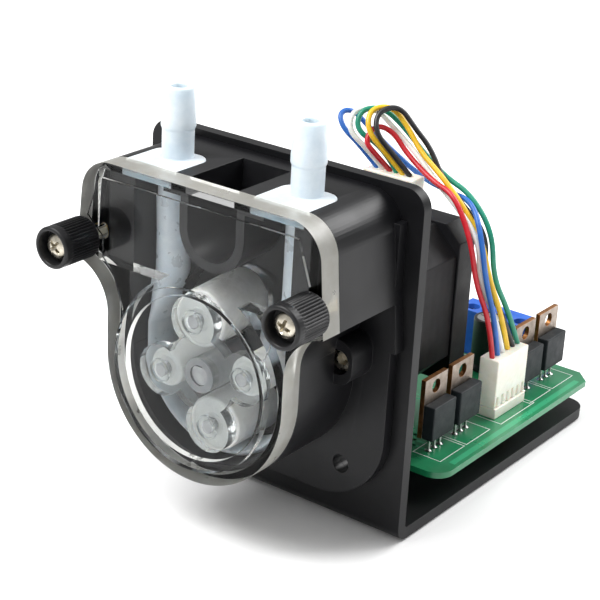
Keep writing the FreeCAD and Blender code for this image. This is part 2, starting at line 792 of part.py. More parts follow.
def make_tube():
    """The pump tube, pressed flat against the track where the rollers pass."""
    wall = size("tube_radius - tube_bore_radius")
    slit = size("squeezed_gauge") / 2 - 0.75 * wall
    outside = u_shape(size("tube_radius"), size("squeezed_gauge") / 2, size("squeezed_half_width"))
    inside = u_shape(size("tube_bore_radius"), slit, size("squeezed_half_width") - 1.2 * wall)
    item = keep(doc.addObject("Part::Feature", "pump_tube"), "pump_tube")
    item.Shape = outside.cut(inside)
    item.Placement = Placement()


def make_barb(side, name):
    """A hose barb on a flat flange, with a spigot below that the pump tube is pushed on to."""
    label = "hose_barb_" + name
    body = new_body(label)
    flange = sketch_on(body, "flange", "XY_Plane", "barb_flange_under")
    front, back = "tube_depth - head_depth", "tube_depth - barb_flange_back"
    draw_rectangle(flange, "-barb_flange_half", front, "barb_flange_half", back)
    pad(body, flange, "barb_flange_gauge")
    middle = size("head_top - barb_flange_gauge / 2")
    fillet(body, "barb_flange_round", [Vector(i * size("barb_flange_half"), size(back), middle) for i in (-1, 1)])
    profile = sketch_on(body, "turned_profile", "XZ_Plane")
    land_bottom = "barb_land_top - barb_land_length"
    draw_polygon(profile, [
        ("barb_bore_radius", "barb_top"),
        ("barb_tip_radius", "barb_top"),
        ("barb_land_radius", "barb_land_top"),
        ("barb_land_radius", land_bottom),
        ("barb_neck_radius", f"{land_bottom} - 0.5"),
        ("barb_neck_radius", "barb_flange_under"),
        ("tube_radius - 0.1", "barb_flange_under"),
        ("tube_radius - 0.1", "tube_top"),
        ("spigot_radius", "tube_top"),
        ("spigot_radius", "tube_top - spigot_length"),
        ("barb_bore_radius", "tube_top - spigot_length"),
    ])
    revolve(body, profile, "V_Axis")
    bore = sketch_on(body, "bore", "XY_Plane", "barb_flange_under - 1")
    draw_circle(bore, ("0", "0"), "barb_bore_radius")
    pocket(body, bore, "barb_flange_gauge + 2", reverse=True)
    bind(body, "Placement.Base.x", f"{side} * tube_x")
    bind(body, "Placement.Base.y", out("tube_depth"))


# ---------------------------------------------------------------- rotor

def on_rotor(item):
    """Turn a piece that was made about the plate's front and the pump axis to its rest phase."""
    item.Placement = Placement(Vector(), Rotation(-Y, size("rotor_phase")))
    bind(item, "Placement.Rotation.Angle", "rotor_phase")
    bind(item, "Placement.Base.y", "plate_front")
    bind(item, "Placement.Base.z", "axis_height")
    return item


def lobes():
    """The rotor's four arms: pitch and angle of each, and what is on it."""
    return (("roller_pitch", 90, "top"), ("roller_pitch", 270, "bottom"),
            ("guide_pitch", 0, "right"), ("guide_pitch", 180, "left"))


def lobe_place(pitch, angle):
    """An arm's end as X and Z formulas about the pump axis, before the rotor's phase."""
    return f"{pitch} * {round(math.cos(math.radians(angle)))}", f"{pitch} * {round(math.sin(math.radians(angle)))}"


def arm_end(pitch, angle, distance):
    """Where an arm's pin is at rest, at a distance out from the plate."""
    turned = f"(rotor_phase + {angle})"
    return f"{pitch} * cos({turned})", out(distance), f"axis_height + {pitch} * sin({turned})"


def make_disc(label, front, gauge):
    """A four-armed plate, front and gauge measured out from the plate."""
    body = new_body(label)
    middle = sketch_on(body, "middle", "XZ_Plane", f"{front} - ({gauge})")
    draw_circle(middle, ("0", "0"), "disc_radius")
    pad(body, middle, gauge)
    for pitch, angle, _ in lobes():
        across, up = lobe_place(pitch, angle)
        tip = sketch_on(body, "arm_tip", "XZ_Plane", f"{front} - ({gauge})")
        draw_circle(tip, (across, up), "lobe_radius")
        pad(body, tip, gauge)
    holes = sketch_on(body, "holes", "XZ_Plane", f"{front} - ({gauge})")
    draw_circle(holes, ("0", "0"), "hub_radius")
    for pitch, angle, _ in lobes():
        draw_circle(holes, lobe_place(pitch, angle), "pin_radius")
    pocket(body, holes, gauge, reverse=True)
    on_rotor(body)


def make_roller(name, pitch, angle, radius):
    """A roller that turns on its pin between the two plates."""
    at = arm_end(pitch, angle, "roller_back")
    barrel = cylinder(name + "_barrel", radius, "roller_length", at, "-y")
    bore = cylinder(name + "_bore", "pin_radius + running_gap", "roller_length", at, "-y")
    keep(cut(name + "_cut", barrel, bore), name)


def make_rotor():
    make_disc("rotor_front_plate", "rotor_front - 0.4", "front_disc_gauge - 0.4")
    make_disc("rotor_rear_plate", "roller_back - side_gap", "rear_disc_gauge")
    hub = cylinder("hub_bar", "hub_radius", "rotor_front - rotor_back + 0.8", ("0", "-(rotor_back - 0.8)", "0"), "-y")
    bore = cylinder("hub_bore", "shaft_radius", "rotor_front", ("0", "-(rotor_back - 1.8)", "0"), "-y")
    grub = cylinder("grub_hole", "1.25", "hub_radius + 1", ("0", "-(roller_back + 3)", "0"), "z")
    on_rotor(keep(cut("hub", hub, bore, grub), "rotor_hub"))
    screw = cylinder("grub_bar", "1.25", "hub_radius - shaft_radius - 0.3", ("0", "-(roller_back + 3)", "shaft_radius"), "z")
    socket = prism("grub_socket", 6, "0.7", "0.8", ("0", "-(roller_back + 3)", "hub_radius - 1.05"), "z")
    on_rotor(keep(cut("grub", screw, socket), "hub_set_screw"))
    for pitch, angle, name in lobes():
        pin = cylinder("pin_" + name, "pin_radius", "rotor_front - 0.4 - (rotor_back)", arm_end(pitch, angle, "rotor_back"), "-y")
        keep(pin, "roller_pin_" + name)
        guide = pitch == "guide_pitch"
        label = f"guide_roller_{name}" if guide else f"pump_roller_{name}"
        make_roller(label, pitch, angle, "guide_radius" if guide else "roller_radius")


# ---------------------------------------------------------------- thumb screws

def make_thumb_screw(side, name):
    """A knurled knob on a cross-headed screw, its captive washer, and the insert it screws into."""
    at = (f"{side} * thumb_x", out("washer_front"), "thumb_z")
    knob = new_body("thumb_knob_" + name)
    profile = sketch_on(knob, "knob_profile", "XZ_Plane")
    bore = "thumb_screw_radius + 0.02"
    draw_polygon(profile, [
        (bore, "0"),
        ("knob_radius - 0.5", "0"),
        ("knob_radius", "0.5"),
        ("knob_radius", "knob_length - 0.6"),
        ("knob_radius - 0.6", "knob_length"),
        ("knob_recess_radius", "knob_length"),
        ("knob_recess_radius", "knob_length - knob_recess_depth"),
        (bore, "knob_length - knob_recess_depth"),
    ])
    revolve(knob, profile, "V_Axis")
    place(knob, at, "-y")

    seat = "washer_front + knob_length - knob_recess_depth"
    reach = f"{seat} - head_depth + thumb_screw_reach"
    shank = cylinder("shank_" + name, "thumb_screw_radius", reach,
                     (at[0], out("head_depth - thumb_screw_reach"), at[2]), "-y")
    head = cylinder("head_" + name, "thumb_head_radius", "thumb_head_length", (at[0], out(seat), at[2]), "-y")
    low, high = out(f"{seat} + thumb_head_length + 1"), out(f"{seat} + thumb_head_length - 1.1")
    cross = [box(f"cross_{name}_{k}", (f"{at[0]} - {a}", low, f"thumb_z - {b}"), (f"{at[0]} + {a}", high, f"thumb_z + {b}"))
             for k, (a, b) in enumerate(((1.7, 0.35), (0.35, 1.7)))]
    keep(cut("screw_" + name, fuse("screw_blank_" + name, shank, head), *cross), "thumb_screw_" + name)

    ring = cylinder("washer_ring_" + name, "washer_radius", "washer_gauge", (at[0], out("cover_front"), at[2]), "-y")
    hole = cylinder("washer_hole_" + name, "thumb_screw_radius + running_gap", "washer_gauge + 2",
                    (at[0], out("cover_front - 1"), at[2]), "-y")
    keep(cut("washer_" + name, ring, hole), "thumb_washer_" + name)

    sleeve = cylinder("insert_ring_" + name, "insert_radius", "insert_length", (at[0], out("head_depth"), at[2]), "y")
    thread = cylinder("insert_bore_" + name, "thumb_screw_radius + 0.08", "insert_length + 2",
                      (at[0], out("head_depth + 1"), at[2]), "y")
    return cut("insert_" + name, sleeve, thread)


def make_head_screws():
    """Two screws in the side bosses, with nuts behind the plate, hold the head to the bracket."""
    screws, nuts = [], []
    for n, side in enumerate((-1, 1)):
        across = f"{side} * boss_x"
        seat = "boss_front - boss_recess_depth"
        head = cylinder(f"head_head_{n}", "boss_recess_radius - 0.2", "3", (across, out(seat), "boss_z"), "-y")
        shank = cylinder(f"head_shank_{n}", "motor_screw_radius", f"{seat} + sheet_gauge + 3.4",
                         (across, out(seat), "boss_z"), "y")
        socket = prism(f"head_socket_{n}", 6, "1.45", "1.6", (across, out(f"{seat} + 1.4"), "boss_z"), "-y")
        screws.append(cut(f"head_screw_{n}", fuse(f"head_blank_{n}", head, shank), socket))
        nut = prism(f"nut_hex_{n}", 6, "3.1", "2.4", (across, "plate_back", "boss_z"), "y")
        hole = cylinder(f"nut_hole_{n}", "motor_screw_radius", "4", (across, "plate_back - 1", "boss_z"), "y")
        nuts.append(cut(f"nut_{n}", nut, hole))
    keep(group("head_screws", *screws), "head_screws")
    keep(group("head_nuts", *nuts), "head_nuts")


# ---------------------------------------------------------------- driver board

def transistor_starts():
    """Where each transistor's near side stands, behind the plate's front face."""
    third = "plug_centre + plug_length / 2 + part_gap"
    return ("transistor_first", "transistor_first + transistor_step", third, f"{third} + transistor_step")


def lead_places():
    """Every lead's place on the board, as X and Y formulas: transistors, then the plug."""
    places = []
    for start in transistor_starts():
        middle = f"plate_front + {start} + transistor_width / 2"
        places += [("transistor_face - 2.4", f"{middle} + {k} * lead_pitch") for k in (-1, 0, 1)]
    middle = "plate_front + plug_centre"
    places += [("plug_face - plug_thickness / 2", f"{middle} + {k} * lead_pitch") for k in (-2.5, -1.5, -0.5, 0.5, 1.5, 2.5)]
    return places


def make_board():
    body = new_body("circuit_board")
    outline = sketch_on(body, "board_outline", "XY_Plane", "board_underside")
    draw_rectangle(outline, "board_left", "board_front", "board_right", "board_rear")
    pad(body, outline, "board_gauge")
    middle = size("board_underside + board_gauge / 2")
    left, right = size("board_left"), size("board_right")
    front, rear = size("board_front"), size("board_rear")
    fillet(body, "board_front_round", [Vector(left, front, middle), Vector(right, front, middle)])
    chamfer(body, "board_rear_chamfer", [Vector(left, rear, middle), Vector(right, rear, middle)])
    holes = sketch_on(body, "board_holes", "XY_Plane", "board_underside")
    for at in standoff_places():
        draw_circle(holes, at, "motor_screw_radius + 0.1")
    for at in lead_places():
        draw_circle(holes, at, "lead_hole_radius")
    pocket(body, holes, "board_gauge", reverse=True)

    supports, screws = [], []
    for n, (across, along) in enumerate(standoff_places()):
        spacer = prism(f"spacer_{n}", 6, "standoff_radius", "board_underside - sheet_gauge", (across, along, "sheet_gauge"))
        stud = cylinder(f"stud_{n}", "motor_screw_radius", "sheet_gauge - 0.2", (across, along, "0.2"))
        thread = cylinder(f"spacer_thread_{n}", "motor_screw_radius", "3.6", (across, along, "board_underside - 3.5"))
        supports.append(cut(f"standoff_{n}", fuse(f"standoff_blank_{n}", spacer, stud), thread))
        head = cylinder(f"board_head_{n}", "standoff_radius", "2", (across, along, "board_top"))
        shank = cylinder(f"board_shank_{n}", "motor_screw_radius", "board_gauge + 3", (across, along, "board_top - board_gauge - 3"))
        cross = [box(f"board_slot_{n}_{k}", (f"{across} - {a}", f"{along} - {b}", "board_top + 1"),
                     (f"{across} + {a}", f"{along} + {b}", "board_top + 3"))
                 for k, (a, b) in enumerate(((1.6, 0.3), (0.3, 1.6)))]
        screws.append(cut(f"board_screw_{n}", fuse(f"board_screw_blank_{n}", head, shank), *cross))
    keep(group("standoffs", *supports), "board_standoffs")
    keep(group("board_screw_set", *screws), "board_screws")


def make_transistors():
    """Four power transistors stand in a row along the board's right edge, tabs inwards."""
    bottom = "board_top + transistor_lift"
    tab_top = f"{bottom} + transistor_height"
    inner = "transistor_face - transistor_body_thickness"
    for n, start in enumerate(transistor_starts(), start=1):
        near, far = f"plate_front + {start}", f"plate_front + {start} + transistor_width"
        middle = f"plate_front + {start} + transistor_width / 2"
        case = box(f"case_{n}", (f"{inner} + tab_gauge", near, bottom),
                   ("transistor_face", far, f"{bottom} + transistor_body_height"))
        keep(case, f"transistor_case_{n}")
        plate = box(f"tab_plate_{n}", (inner, near, bottom), (f"{inner} + tab_gauge", far, tab_top))
        hole = cylinder(f"tab_hole_{n}", "1.8", "tab_gauge + 2", (f"{inner} - 1", middle, f"{tab_top} - 2.8"), "x")
        tab = cut(f"tab_{n}", plate, hole)
        leads = [box(f"lead_{n}_{k}", ("transistor_face - 2.65", f"{middle} + {k} * lead_pitch - 0.4", "board_underside - 1"),
                     ("transistor_face - 2.15", f"{middle} + {k} * lead_pitch + 0.4", bottom))
                 for k in (-1, 0, 1)]
        keep(group(f"metal_{n}", tab, *leads), f"transistor_metal_{n}")


def make_board_parts():
    near, far = "plate_front + plug_centre - plug_length / 2", "plate_front + plug_centre + plug_length / 2"
    back = "plug_face - plug_thickness"
    keep(box("header", (back, near, "board_top"), ("plug_face + 0.4", far, "board_top + header_height")), "connector_header")
    shell = box("shell", (back, near, "board_top + header_height"),
                ("plug_face", far, "board_top + header_height + plug_height"))
    slots = [box(f"tooth_{k}", ("plug_face - 0.7", f"plate_front + plug_centre + {k} * lead_pitch - 0.5", "board_top"),
                 ("plug_face + 1", f"plate_front + plug_centre + {k} * lead_pitch + 0.5", "board_top + header_height + 3"))
             for k in (-2.5, -1.5, -0.5, 0.5, 1.5, 2.5)]
    keep(cut("plug", shell, *slots), "connector_plug")
    pins = [box(f"pin_{k}", (f"{x} - 0.32", f"{y} - 0.32", "board_underside - 1.6"), (f"{x} + 0.32", f"{y} + 0.32", "board_top"))
            for k, (x, y) in enumerate(lead_places()[12:])]
    keep(group("pins", *pins), "connector_pins")

    half = "plug_length / 2"
    keep(box("motor_shell", (f"-2 - {half}", "motor_end - 6.7", "motor_top"),
             (f"{half} - 2", "motor_end - 1.1", "motor_top + motor_plug_height")), "motor_plug")

    block = box("terminal_body", ("terminal_right - 4 * terminal_pitch - 1.5", "terminal_front", "board_top"),
                ("terminal_right", "terminal_front + 8.5", "board_top + 13"))
    bites = []
    for k in range(4):
        across = f"terminal_right - {k} * terminal_pitch - 3.2"
        bites.append(box(f"wire_entry_{k}", (f"{across} - 1.9", "terminal_front + 4.5", "board_top + 1.6"),
                         (f"{across} + 1.9", "terminal_front + 9", "board_top + 5.6")))
        bites.append(cylinder(f"screw_well_{k}", "2", "5", (across, "terminal_front + 3.2", "board_top + 9")))
    keep(cut("terminal", block, *bites), "terminal_block")
    screws = []
    for k in range(4):
        across = f"terminal_right - {k} * terminal_pitch - 3.2"
        head = cylinder(f"terminal_head_{k}", "1.9", "2.6", (across, "terminal_front + 3.2", "board_top + 9"))
        slot = box(f"terminal_slot_{k}", (f"{across} - 2", "terminal_front + 2.9", "board_top + 10.8"),
                   (f"{across} + 2", "terminal_front + 3.5", "board_top + 12"))
        screws.append(cut(f"terminal_screw_{k}", head, slot))
    keep(group("terminal_screw_set", *screws), "terminal_screws")

    keep(cylinder("can", "4", "15.4", ("13.7", "plate_front + 79", "board_top")), "capacitor")
    keep(box("chip", ("-6", "plate_front + 40", "board_top"), ("6", "plate_front + 52", "board_top + 2.4")), "driver_chip")


# ---------------------------------------------------------------- motor wires

# Each wire's route from the motor's plug to the board's plug, as points in the part's frame.
WIRES = {
    "wire_red": [
        (-3, 4, 70), (-5.9, 0.3, 75), (-8.2, -1, 77.9), (-7.8, 3.1, 81.5), (-4.1, 5.7, 79.8),
        (0.3, 5.7, 75.1), (9.5, 4.2, 70.2), (17.6, 2.2, 69.1), (24.3, 0.8, 58.5),
        (25.4, 2.8, 47.5), (28.6, 6, 37.4), (29.2, 8.2, 26.6),
    ],
    "wire_blue": [
        (-7, 4, 70), (-11.9, 2.2, 75.5), (-16.4, 0.6, 79.4), (-18.6, 2.2, 82.6), (-16.8, 5.6, 83),
        (-12.8, 8.4, 78), (-6.7, 10.8, 72.5), (2.4, 11.2, 67.6), (10.8, 10, 66.5),
        (20.1, 6.9, 66.9), (26.3, 2, 60), (27.6, 3.9, 48.2), (29.2, 7.6, 37.4), (29.2, 10.7, 26.6),
    ],
    "wire_white": [
        (-5, 4, 70), (-9, 1.6, 75.1), (-13.7, -0.6, 79.5), (-14.7, 2.7, 84.1), (-10.7, 7.1, 84.3),
        (-5.3, 8, 79.9), (2.1, 7.6, 74.9), (9.4, 5.9, 69.9), (16.2, 3.2, 67.1), (25.4, 2.8, 59.3),
        (25.2, 4.6, 47.4), (28.6, 9.3, 37.4), (29.2, 13.2, 26.6),
    ],
    "wire_yellow": [
        (1, 4, 70), (-3.2, 1.4, 75.4), (-7.6, -1, 80.7), (-9.5, 2.3, 85.3), (-5.9, 7, 86),
        (-1.3, 7.9, 81.3), (3.7, 6.8, 76), (10.9, 5.6, 71.9), (17.3, 4.7, 67.2), (24.8, 4.6, 59.2),
        (27.5, 5.7, 48.3), (29.3, 10.9, 37.4), (29.2, 15.8, 26.6),
    ],
    "wire_black": [
        (3, 4, 70), (-1.2, 1.6, 75.5), (-5.5, -0.6, 80.7), (-7.2, 2.5, 85.2), (-3.5, 6.9, 86.5),
        (1, 7.7, 81.4), (5.7, 8.4, 77), (10.3, 7.2, 70.8), (16.2, 6.2, 66.6), (25.5, 6.4, 59.6),
        (25, 6.8, 47.4), (28.5, 12.6, 37.4), (29.2, 18.3, 26.6),
    ],
    "wire_green": [
        (-1, 4, 70), (-5.2, 3.1, 76.1), (-11.8, 0.1, 79.6), (-12.5, 2.6, 84.5), (-8.6, 7, 85),
        (-3.5, 8.6, 81.2), (3, 8.7, 75.8), (10.1, 8.9, 70.6), (18.1, 9.3, 67.6), (26.2, 7.4, 60.1),
        (27.5, 7.7, 48.2), (29.3, 14.3, 37.5), (29.2, 20.9, 26.6),
    ],
}


def wire_path(points, radius):
    """Straight runs joined by tangent arcs, each as large as its two runs allow."""
    spots = [Vector(*point) for point in points]
    edges, radii, start = [], [], spots[0]
    for before, corner, after in zip(spots, spots[1:], spots[2:]):
        to_before, to_after = (before - corner).normalize(), (after - corner).normalize()
        half_turn = (math.pi - to_before.getAngle(to_after)) / 2
        reach = 0.45 * min(before.distanceToPoint(corner), after.distanceToPoint(corner))
        radii.append(reach / math.tan(half_turn) / (2 * radius))
        middle_way = (to_before + to_after).normalize()
        arc_radius = reach / math.tan(half_turn)
        centre = corner + middle_way * math.hypot(reach, arc_radius)
        first, last = corner + to_before * reach, corner + to_after * reach
        edges.append(Part.LineSegment(start, first).toShape())
        edges.append(Part.Arc(first, centre - middle_way * arc_radius, last).toShape())
        start = last
    edges.append(Part.LineSegment(start, spots[-1]).toShape())
    return Part.Wire(edges), radii


def make_wires():
    radius = size("wire_radius")
    for name, points in WIRES.items():
        path, radii = wire_path(points, radius)
        first = Vector(*points[1]) - Vector(*points[0])
        section = Part.Wire([Part.makeCircle(radius, Vector(*points[0]), first)])
        tube = path.makePipeShell([section], True, False)
        item = keep(doc.addObject("Part::Feature", name), name)
        item.Shape = tube
        item.Placement = Placement()
        expected = math.pi * radius ** 2 * path.Length
        print(f"{name}: length {path.Length:.1f} mm, volume {tube.Volume / expected:.3f} of expected,"
              f" radii in diameters {min(radii):.1f} to {max(radii):.1f}")


# ---------------------------------------------------------------- build, check and write

def check_document():
    """Refuse to write anything if a feature failed or a sub-part is empty or invalid."""
    for item in doc.Objects:
        if "Invalid" in item.State or "Error" in item.State:
            raise RuntimeError(f"{item.Name} failed: {item.State}")
    for label, item in NODES.items():
        if item.Shape.isNull() or not item.Shape.isValid() or item.Shape.Volume <= 0:
            raise RuntimeError(f"{label} has no valid solid")


def main():
    make_bracket()
    make_motor()
    make_motor_screws()
    make_housing()
    make_cover()
    make_tube()
    both_sides(make_barb)
    make_rotor()
    keep(group("inserts", *both_sides(make_thumb_screw)), "threaded_inserts")
    make_head_screws()
    make_board()
    make_transistors()
    make_board_parts()
    make_wires()
    doc.recompute()
    check_document()
    os.makedirs("parts", exist_ok=True)
    for label, item in NODES.items():
        item.Shape.exportStep(os.path.join("parts", label + ".step"))
    print(len(NODES), "sub-parts written")


main()
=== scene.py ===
# %% [markdown]
# # A bench peristaltic pump
# A peristaltic pump squeezes a soft tube between rollers and a round track. This lesson dresses a finished
# mechanical model of one: a black pump head with a clear cover, a stepper motor behind an L bracket, and a
# small driver board on the bracket's foot. The model comes in first and never moves; every piece made here
# rides on one of its bodies, so that the pump still turns, opens and unscrews.

# %% Load the frame
import json
import math

import bmesh
import bpy
import numpy as np
from mathutils import Matrix, Quaternion, Vector


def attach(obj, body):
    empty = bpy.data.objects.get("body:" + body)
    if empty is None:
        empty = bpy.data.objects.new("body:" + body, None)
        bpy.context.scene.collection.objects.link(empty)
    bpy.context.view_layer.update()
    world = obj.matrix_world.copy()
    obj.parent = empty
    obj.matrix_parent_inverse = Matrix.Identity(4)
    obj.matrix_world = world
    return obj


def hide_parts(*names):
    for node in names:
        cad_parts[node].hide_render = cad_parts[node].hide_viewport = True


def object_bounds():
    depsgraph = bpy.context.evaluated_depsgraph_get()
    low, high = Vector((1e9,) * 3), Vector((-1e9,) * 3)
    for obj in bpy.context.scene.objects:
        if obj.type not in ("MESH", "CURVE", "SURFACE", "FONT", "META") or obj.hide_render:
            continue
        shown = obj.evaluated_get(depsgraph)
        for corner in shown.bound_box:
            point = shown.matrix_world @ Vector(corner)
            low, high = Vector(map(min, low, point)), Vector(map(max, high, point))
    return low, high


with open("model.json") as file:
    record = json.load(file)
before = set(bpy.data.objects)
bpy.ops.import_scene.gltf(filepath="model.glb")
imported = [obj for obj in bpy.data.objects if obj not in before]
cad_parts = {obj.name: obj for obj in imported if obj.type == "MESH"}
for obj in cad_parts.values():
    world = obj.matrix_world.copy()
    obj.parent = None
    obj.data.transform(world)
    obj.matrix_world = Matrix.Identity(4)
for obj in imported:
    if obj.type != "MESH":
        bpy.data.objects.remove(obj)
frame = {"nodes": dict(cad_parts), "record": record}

cad_low, cad_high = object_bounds()
MM = 0.001

# %% [markdown]
# ## The camera
# A thing this small is best drawn with a long lens from half a metre away, so that its edges stay nearly
# parallel. We place the camera by the point it stands at and the point it looks at, then roll it a little.

# %% Camera
CAMERA_PLACE = Vector((222.58, -346.12, 207.30)) * MM
CAMERA_TARGET = Vector((-14.44, -16.36, 37.35)) * MM
CAMERA_ROLL = math.radians(3.12)

camera_data = bpy.data.cameras.new("camera")
camera_data.lens = 103.27
camera_data.sensor_width = 36.0
camera = bpy.data.objects.new("camera", camera_data)
bpy.context.scene.collection.objects.link(camera)
looking = (CAMERA_TARGET - CAMERA_PLACE).to_track_quat("-Z", "Y")
camera.rotation_mode = "QUATERNION"
camera.rotation_quaternion = looking @ Quaternion((0, 0, 1), CAMERA_ROLL)
camera.location = CAMERA_PLACE
camera_data.clip_start = 0.01
bpy.context.scene.camera = camera
print("camera stands", round((CAMERA_TARGET - CAMERA_PLACE).length, 3), "m away")

# %% [markdown]
# ## Small helpers
# Colours are picked as sRGB hex values, the way a colour picker shows them, but a shader wants linear light.
# One function does that conversion, and one adds a shader node with its settings and its inputs.

# %% Colour and node helpers
def linear(hex_colour):
    """sRGB to linear: c / 12.92 up to 0.04045, and ((c + 0.055) / 1.055) to the power 2.4 above it."""
    channels = [int(hex_colour[i:i + 2], 16) / 255 for i in (1, 3, 5)]
    return tuple(c / 12.92 if c <= 0.04045 else ((c + 0.055) / 1.055) ** 2.4 for c in channels) + (1.0,)


def add_node(tree, kind, settings, inputs):
    """Add one shader node. An input is a number, a colour, or another node's output to link."""
    node = tree.nodes.new(kind)
    for name, value in settings.items():
        setattr(node, name, value)
    for name, value in inputs.items():
        if isinstance(value, bpy.types.NodeSocket):
            tree.links.new(value, node.inputs[name])
        else:
            node.inputs[name].default_value = value
    return node


def surface(name, **values):
    """A material with one Principled shader; the values set its sockets, with _ for a space."""
    material = bpy.data.materials.new(name)
    material.use_nodes = True
    tree = material.node_tree
    shader = tree.nodes["Principled BSDF"]
    for key, value in values.items():
        shader.inputs[key.replace("_", " ")].default_value = value
    return material, tree, shader


def object_place(tree):
    """The point being shaded, in metres in the object's own space."""
    return add_node(tree, "ShaderNodeTexCoord", {}, {}).outputs["Object"]


def per_metre(size_mm):
    """A texture's scale for features of this size: how many of them fit in a metre."""
    return 1000.0 / size_mm


# %% [markdown]
# ## How a surface gets its detail
# A moulded or painted surface is never one flat value. We give each finish two things: a fine grain that
# bends the light (bump), and slow, cloudy changes of gloss, from handling and from the mould. Both are
# noise, at a size in millimetres that the real surface has. Grain finer than about a tenth of a millimetre
# would not show, so it is drawn that coarse.

# %% Grain and gloss
def add_grain(tree, shader, size_mm, height_mm, detail=2.0):
    """Bump from noise: bumps of size_mm across and height_mm high."""
    noise = add_node(tree, "ShaderNodeTexNoise", {},
                     {"Vector": object_place(tree), "Scale": per_metre(size_mm), "Detail": detail})
    bump = add_node(tree, "ShaderNodeBump", {},
                    {"Height": noise.outputs["Fac"], "Strength": 1.0, "Distance": height_mm * MM})
    tree.links.new(bump.outputs["Normal"], shader.inputs["Normal"])
    return noise


def vary_gloss(tree, shader, size_mm, low, high):
    """Roughness that drifts between low and high over patches of size_mm."""
    noise = add_node(tree, "ShaderNodeTexNoise", {},
                     {"Vector": object_place(tree), "Scale": per_metre(size_mm),
                      "Detail": 4.0, "Roughness": 0.6})
    span = add_node(tree, "ShaderNodeMapRange", {},
                    {"Value": noise.outputs["Fac"], "From Min": 0.3, "From Max": 0.7,
                     "To Min": low, "To Max": high})
    tree.links.new(span.outputs["Result"], shader.inputs["Roughness"])


def vary_colour(tree, shader, size_mm, first, second):
    """Base colour that drifts between two hex colours over patches of size_mm."""
    noise = add_node(tree, "ShaderNodeTexNoise", {},
                     {"Vector": object_place(tree), "Scale": per_metre(size_mm),
                      "Detail": 5.0, "Roughness": 0.65})
    ramp = add_node(tree, "ShaderNodeValToRGB", {}, {"Fac": noise.outputs["Fac"]})
    ramp.color_ramp.elements[0].position, ramp.color_ramp.elements[1].position = 0.32, 0.68
    ramp.color_ramp.elements[0].color, ramp.color_ramp.elements[1].color = linear(first), linear(second)
    tree.links.new(ramp.outputs["Color"], shader.inputs["Base Color"])


# %% [markdown]
# ## Black finishes
# Six different blacks meet on this pump. The bracket is steel with a powder coat: slightly orange-peeled,
# half matt. The housing is moulded ABS with a fine spark-eroded grain. The knobs are glass-filled nylon, a
# little greyer. The motor's end caps are painted die castings, and its laminations show as fine lines. The
# packages on the board are moulded epoxy. Black plastic and paint with a fine grain mirror less than a
# polished face would, so each one's specular level is set below the default.

# %% Black materials
def powder_coat():
    material, tree, shader = surface("powder_coated_steel", IOR=1.5, Specular_IOR_Level=0.22)
    vary_colour(tree, shader, 9.0, "#0c0c0e", "#111113")
    vary_gloss(tree, shader, 14.0, 0.36, 0.46)
    add_grain(tree, shader, 0.7, 0.010)
    return material


def moulded_abs():
    material, tree, shader = surface("black_moulded_abs", IOR=1.53, Specular_IOR_Level=0.25)
    vary_colour(tree, shader, 12.0, "#0c0c0e", "#121215")
    vary_gloss(tree, shader, 18.0, 0.32, 0.44)
    add_grain(tree, shader, 0.35, 0.008)
    return material


def filled_nylon():
    material, tree, shader = surface("black_filled_nylon", IOR=1.53, Specular_IOR_Level=0.3)
    vary_colour(tree, shader, 2.5, "#101011", "#1a1a1c")
    vary_gloss(tree, shader, 3.0, 0.34, 0.5)
    add_grain(tree, shader, 0.2, 0.006)
    return material


def painted_casting():
    material, tree, shader = surface("black_painted_casting", IOR=1.5, Specular_IOR_Level=0.25)
    vary_colour(tree, shader, 6.0, "#101012", "#17171a")
    vary_gloss(tree, shader, 8.0, 0.42, 0.58)
    add_grain(tree, shader, 0.5, 0.02)
    return material


def painted_laminations():
    """Half-millimetre steel sheets in a stack: a sine wave along Y, with a period of one sheet."""
    material, tree, shader = surface("black_painted_laminations", IOR=1.5, Specular_IOR_Level=0.22)
    sheet_mm, bands_per_unit = 0.5, 20
    vary_colour(tree, shader, 7.0, "#0c0c0e", "#141416")
    vary_gloss(tree, shader, 9.0, 0.46, 0.62)
    wave = add_node(tree, "ShaderNodeTexWave", {"wave_type": "BANDS", "bands_direction": "Y"},
                    {"Vector": object_place(tree), "Scale": per_metre(sheet_mm) / bands_per_unit,
                     "Distortion": 0.6, "Detail": 1.0})
    bump = add_node(tree, "ShaderNodeBump", {},
                    {"Height": wave.outputs["Fac"], "Strength": 0.6, "Distance": 0.03 * MM})
    tree.links.new(bump.outputs["Normal"], shader.inputs["Normal"])
    return material


def moulded_epoxy():
    material, tree, shader = surface("black_moulded_epoxy", IOR=1.55, Specular_IOR_Level=0.3)
    vary_colour(tree, shader, 2.0, "#10161a", "#192024")
    vary_gloss(tree, shader, 2.5, 0.5, 0.66)
    add_grain(tree, shader, 0.15, 0.010)
    return material


BRACKET_BLACK, HOUSING_BLACK, KNOB_BLACK = powder_coat(), moulded_abs(), filled_nylon()
CASTING_BLACK, STACK_BLACK, EPOXY_BLACK = painted_casting(), painted_laminations(), moulded_epoxy()
print("blacks:", BRACKET_BLACK.name, HOUSING_BLACK.name, KNOB_BLACK.name)

# %% [markdown]
# ## Clear and milky plastics
# The cover is polished polycarbonate. Its real refractive index is 1.58; a lower one is used, because at the
# real one its four faces mirror the white studio over everything behind them. Its ground skirt is frosted,
# so it looks milky where light enters the edge. The barbs are natural polypropylene and the tube is
# silicone: light goes in, scatters and comes out, which is what subsurface scattering stands for.

# %% Clear and milky materials
def polycarbonate():
    material, tree, shader = surface("clear_polycarbonate", Base_Color=linear("#fbfcfc"), Roughness=0.015,
                                     IOR=1.2, Specular_IOR_Level=0.3, Transmission_Weight=1.0)
    add_grain(tree, shader, 14.0, 0.003, 0.0)
    return material


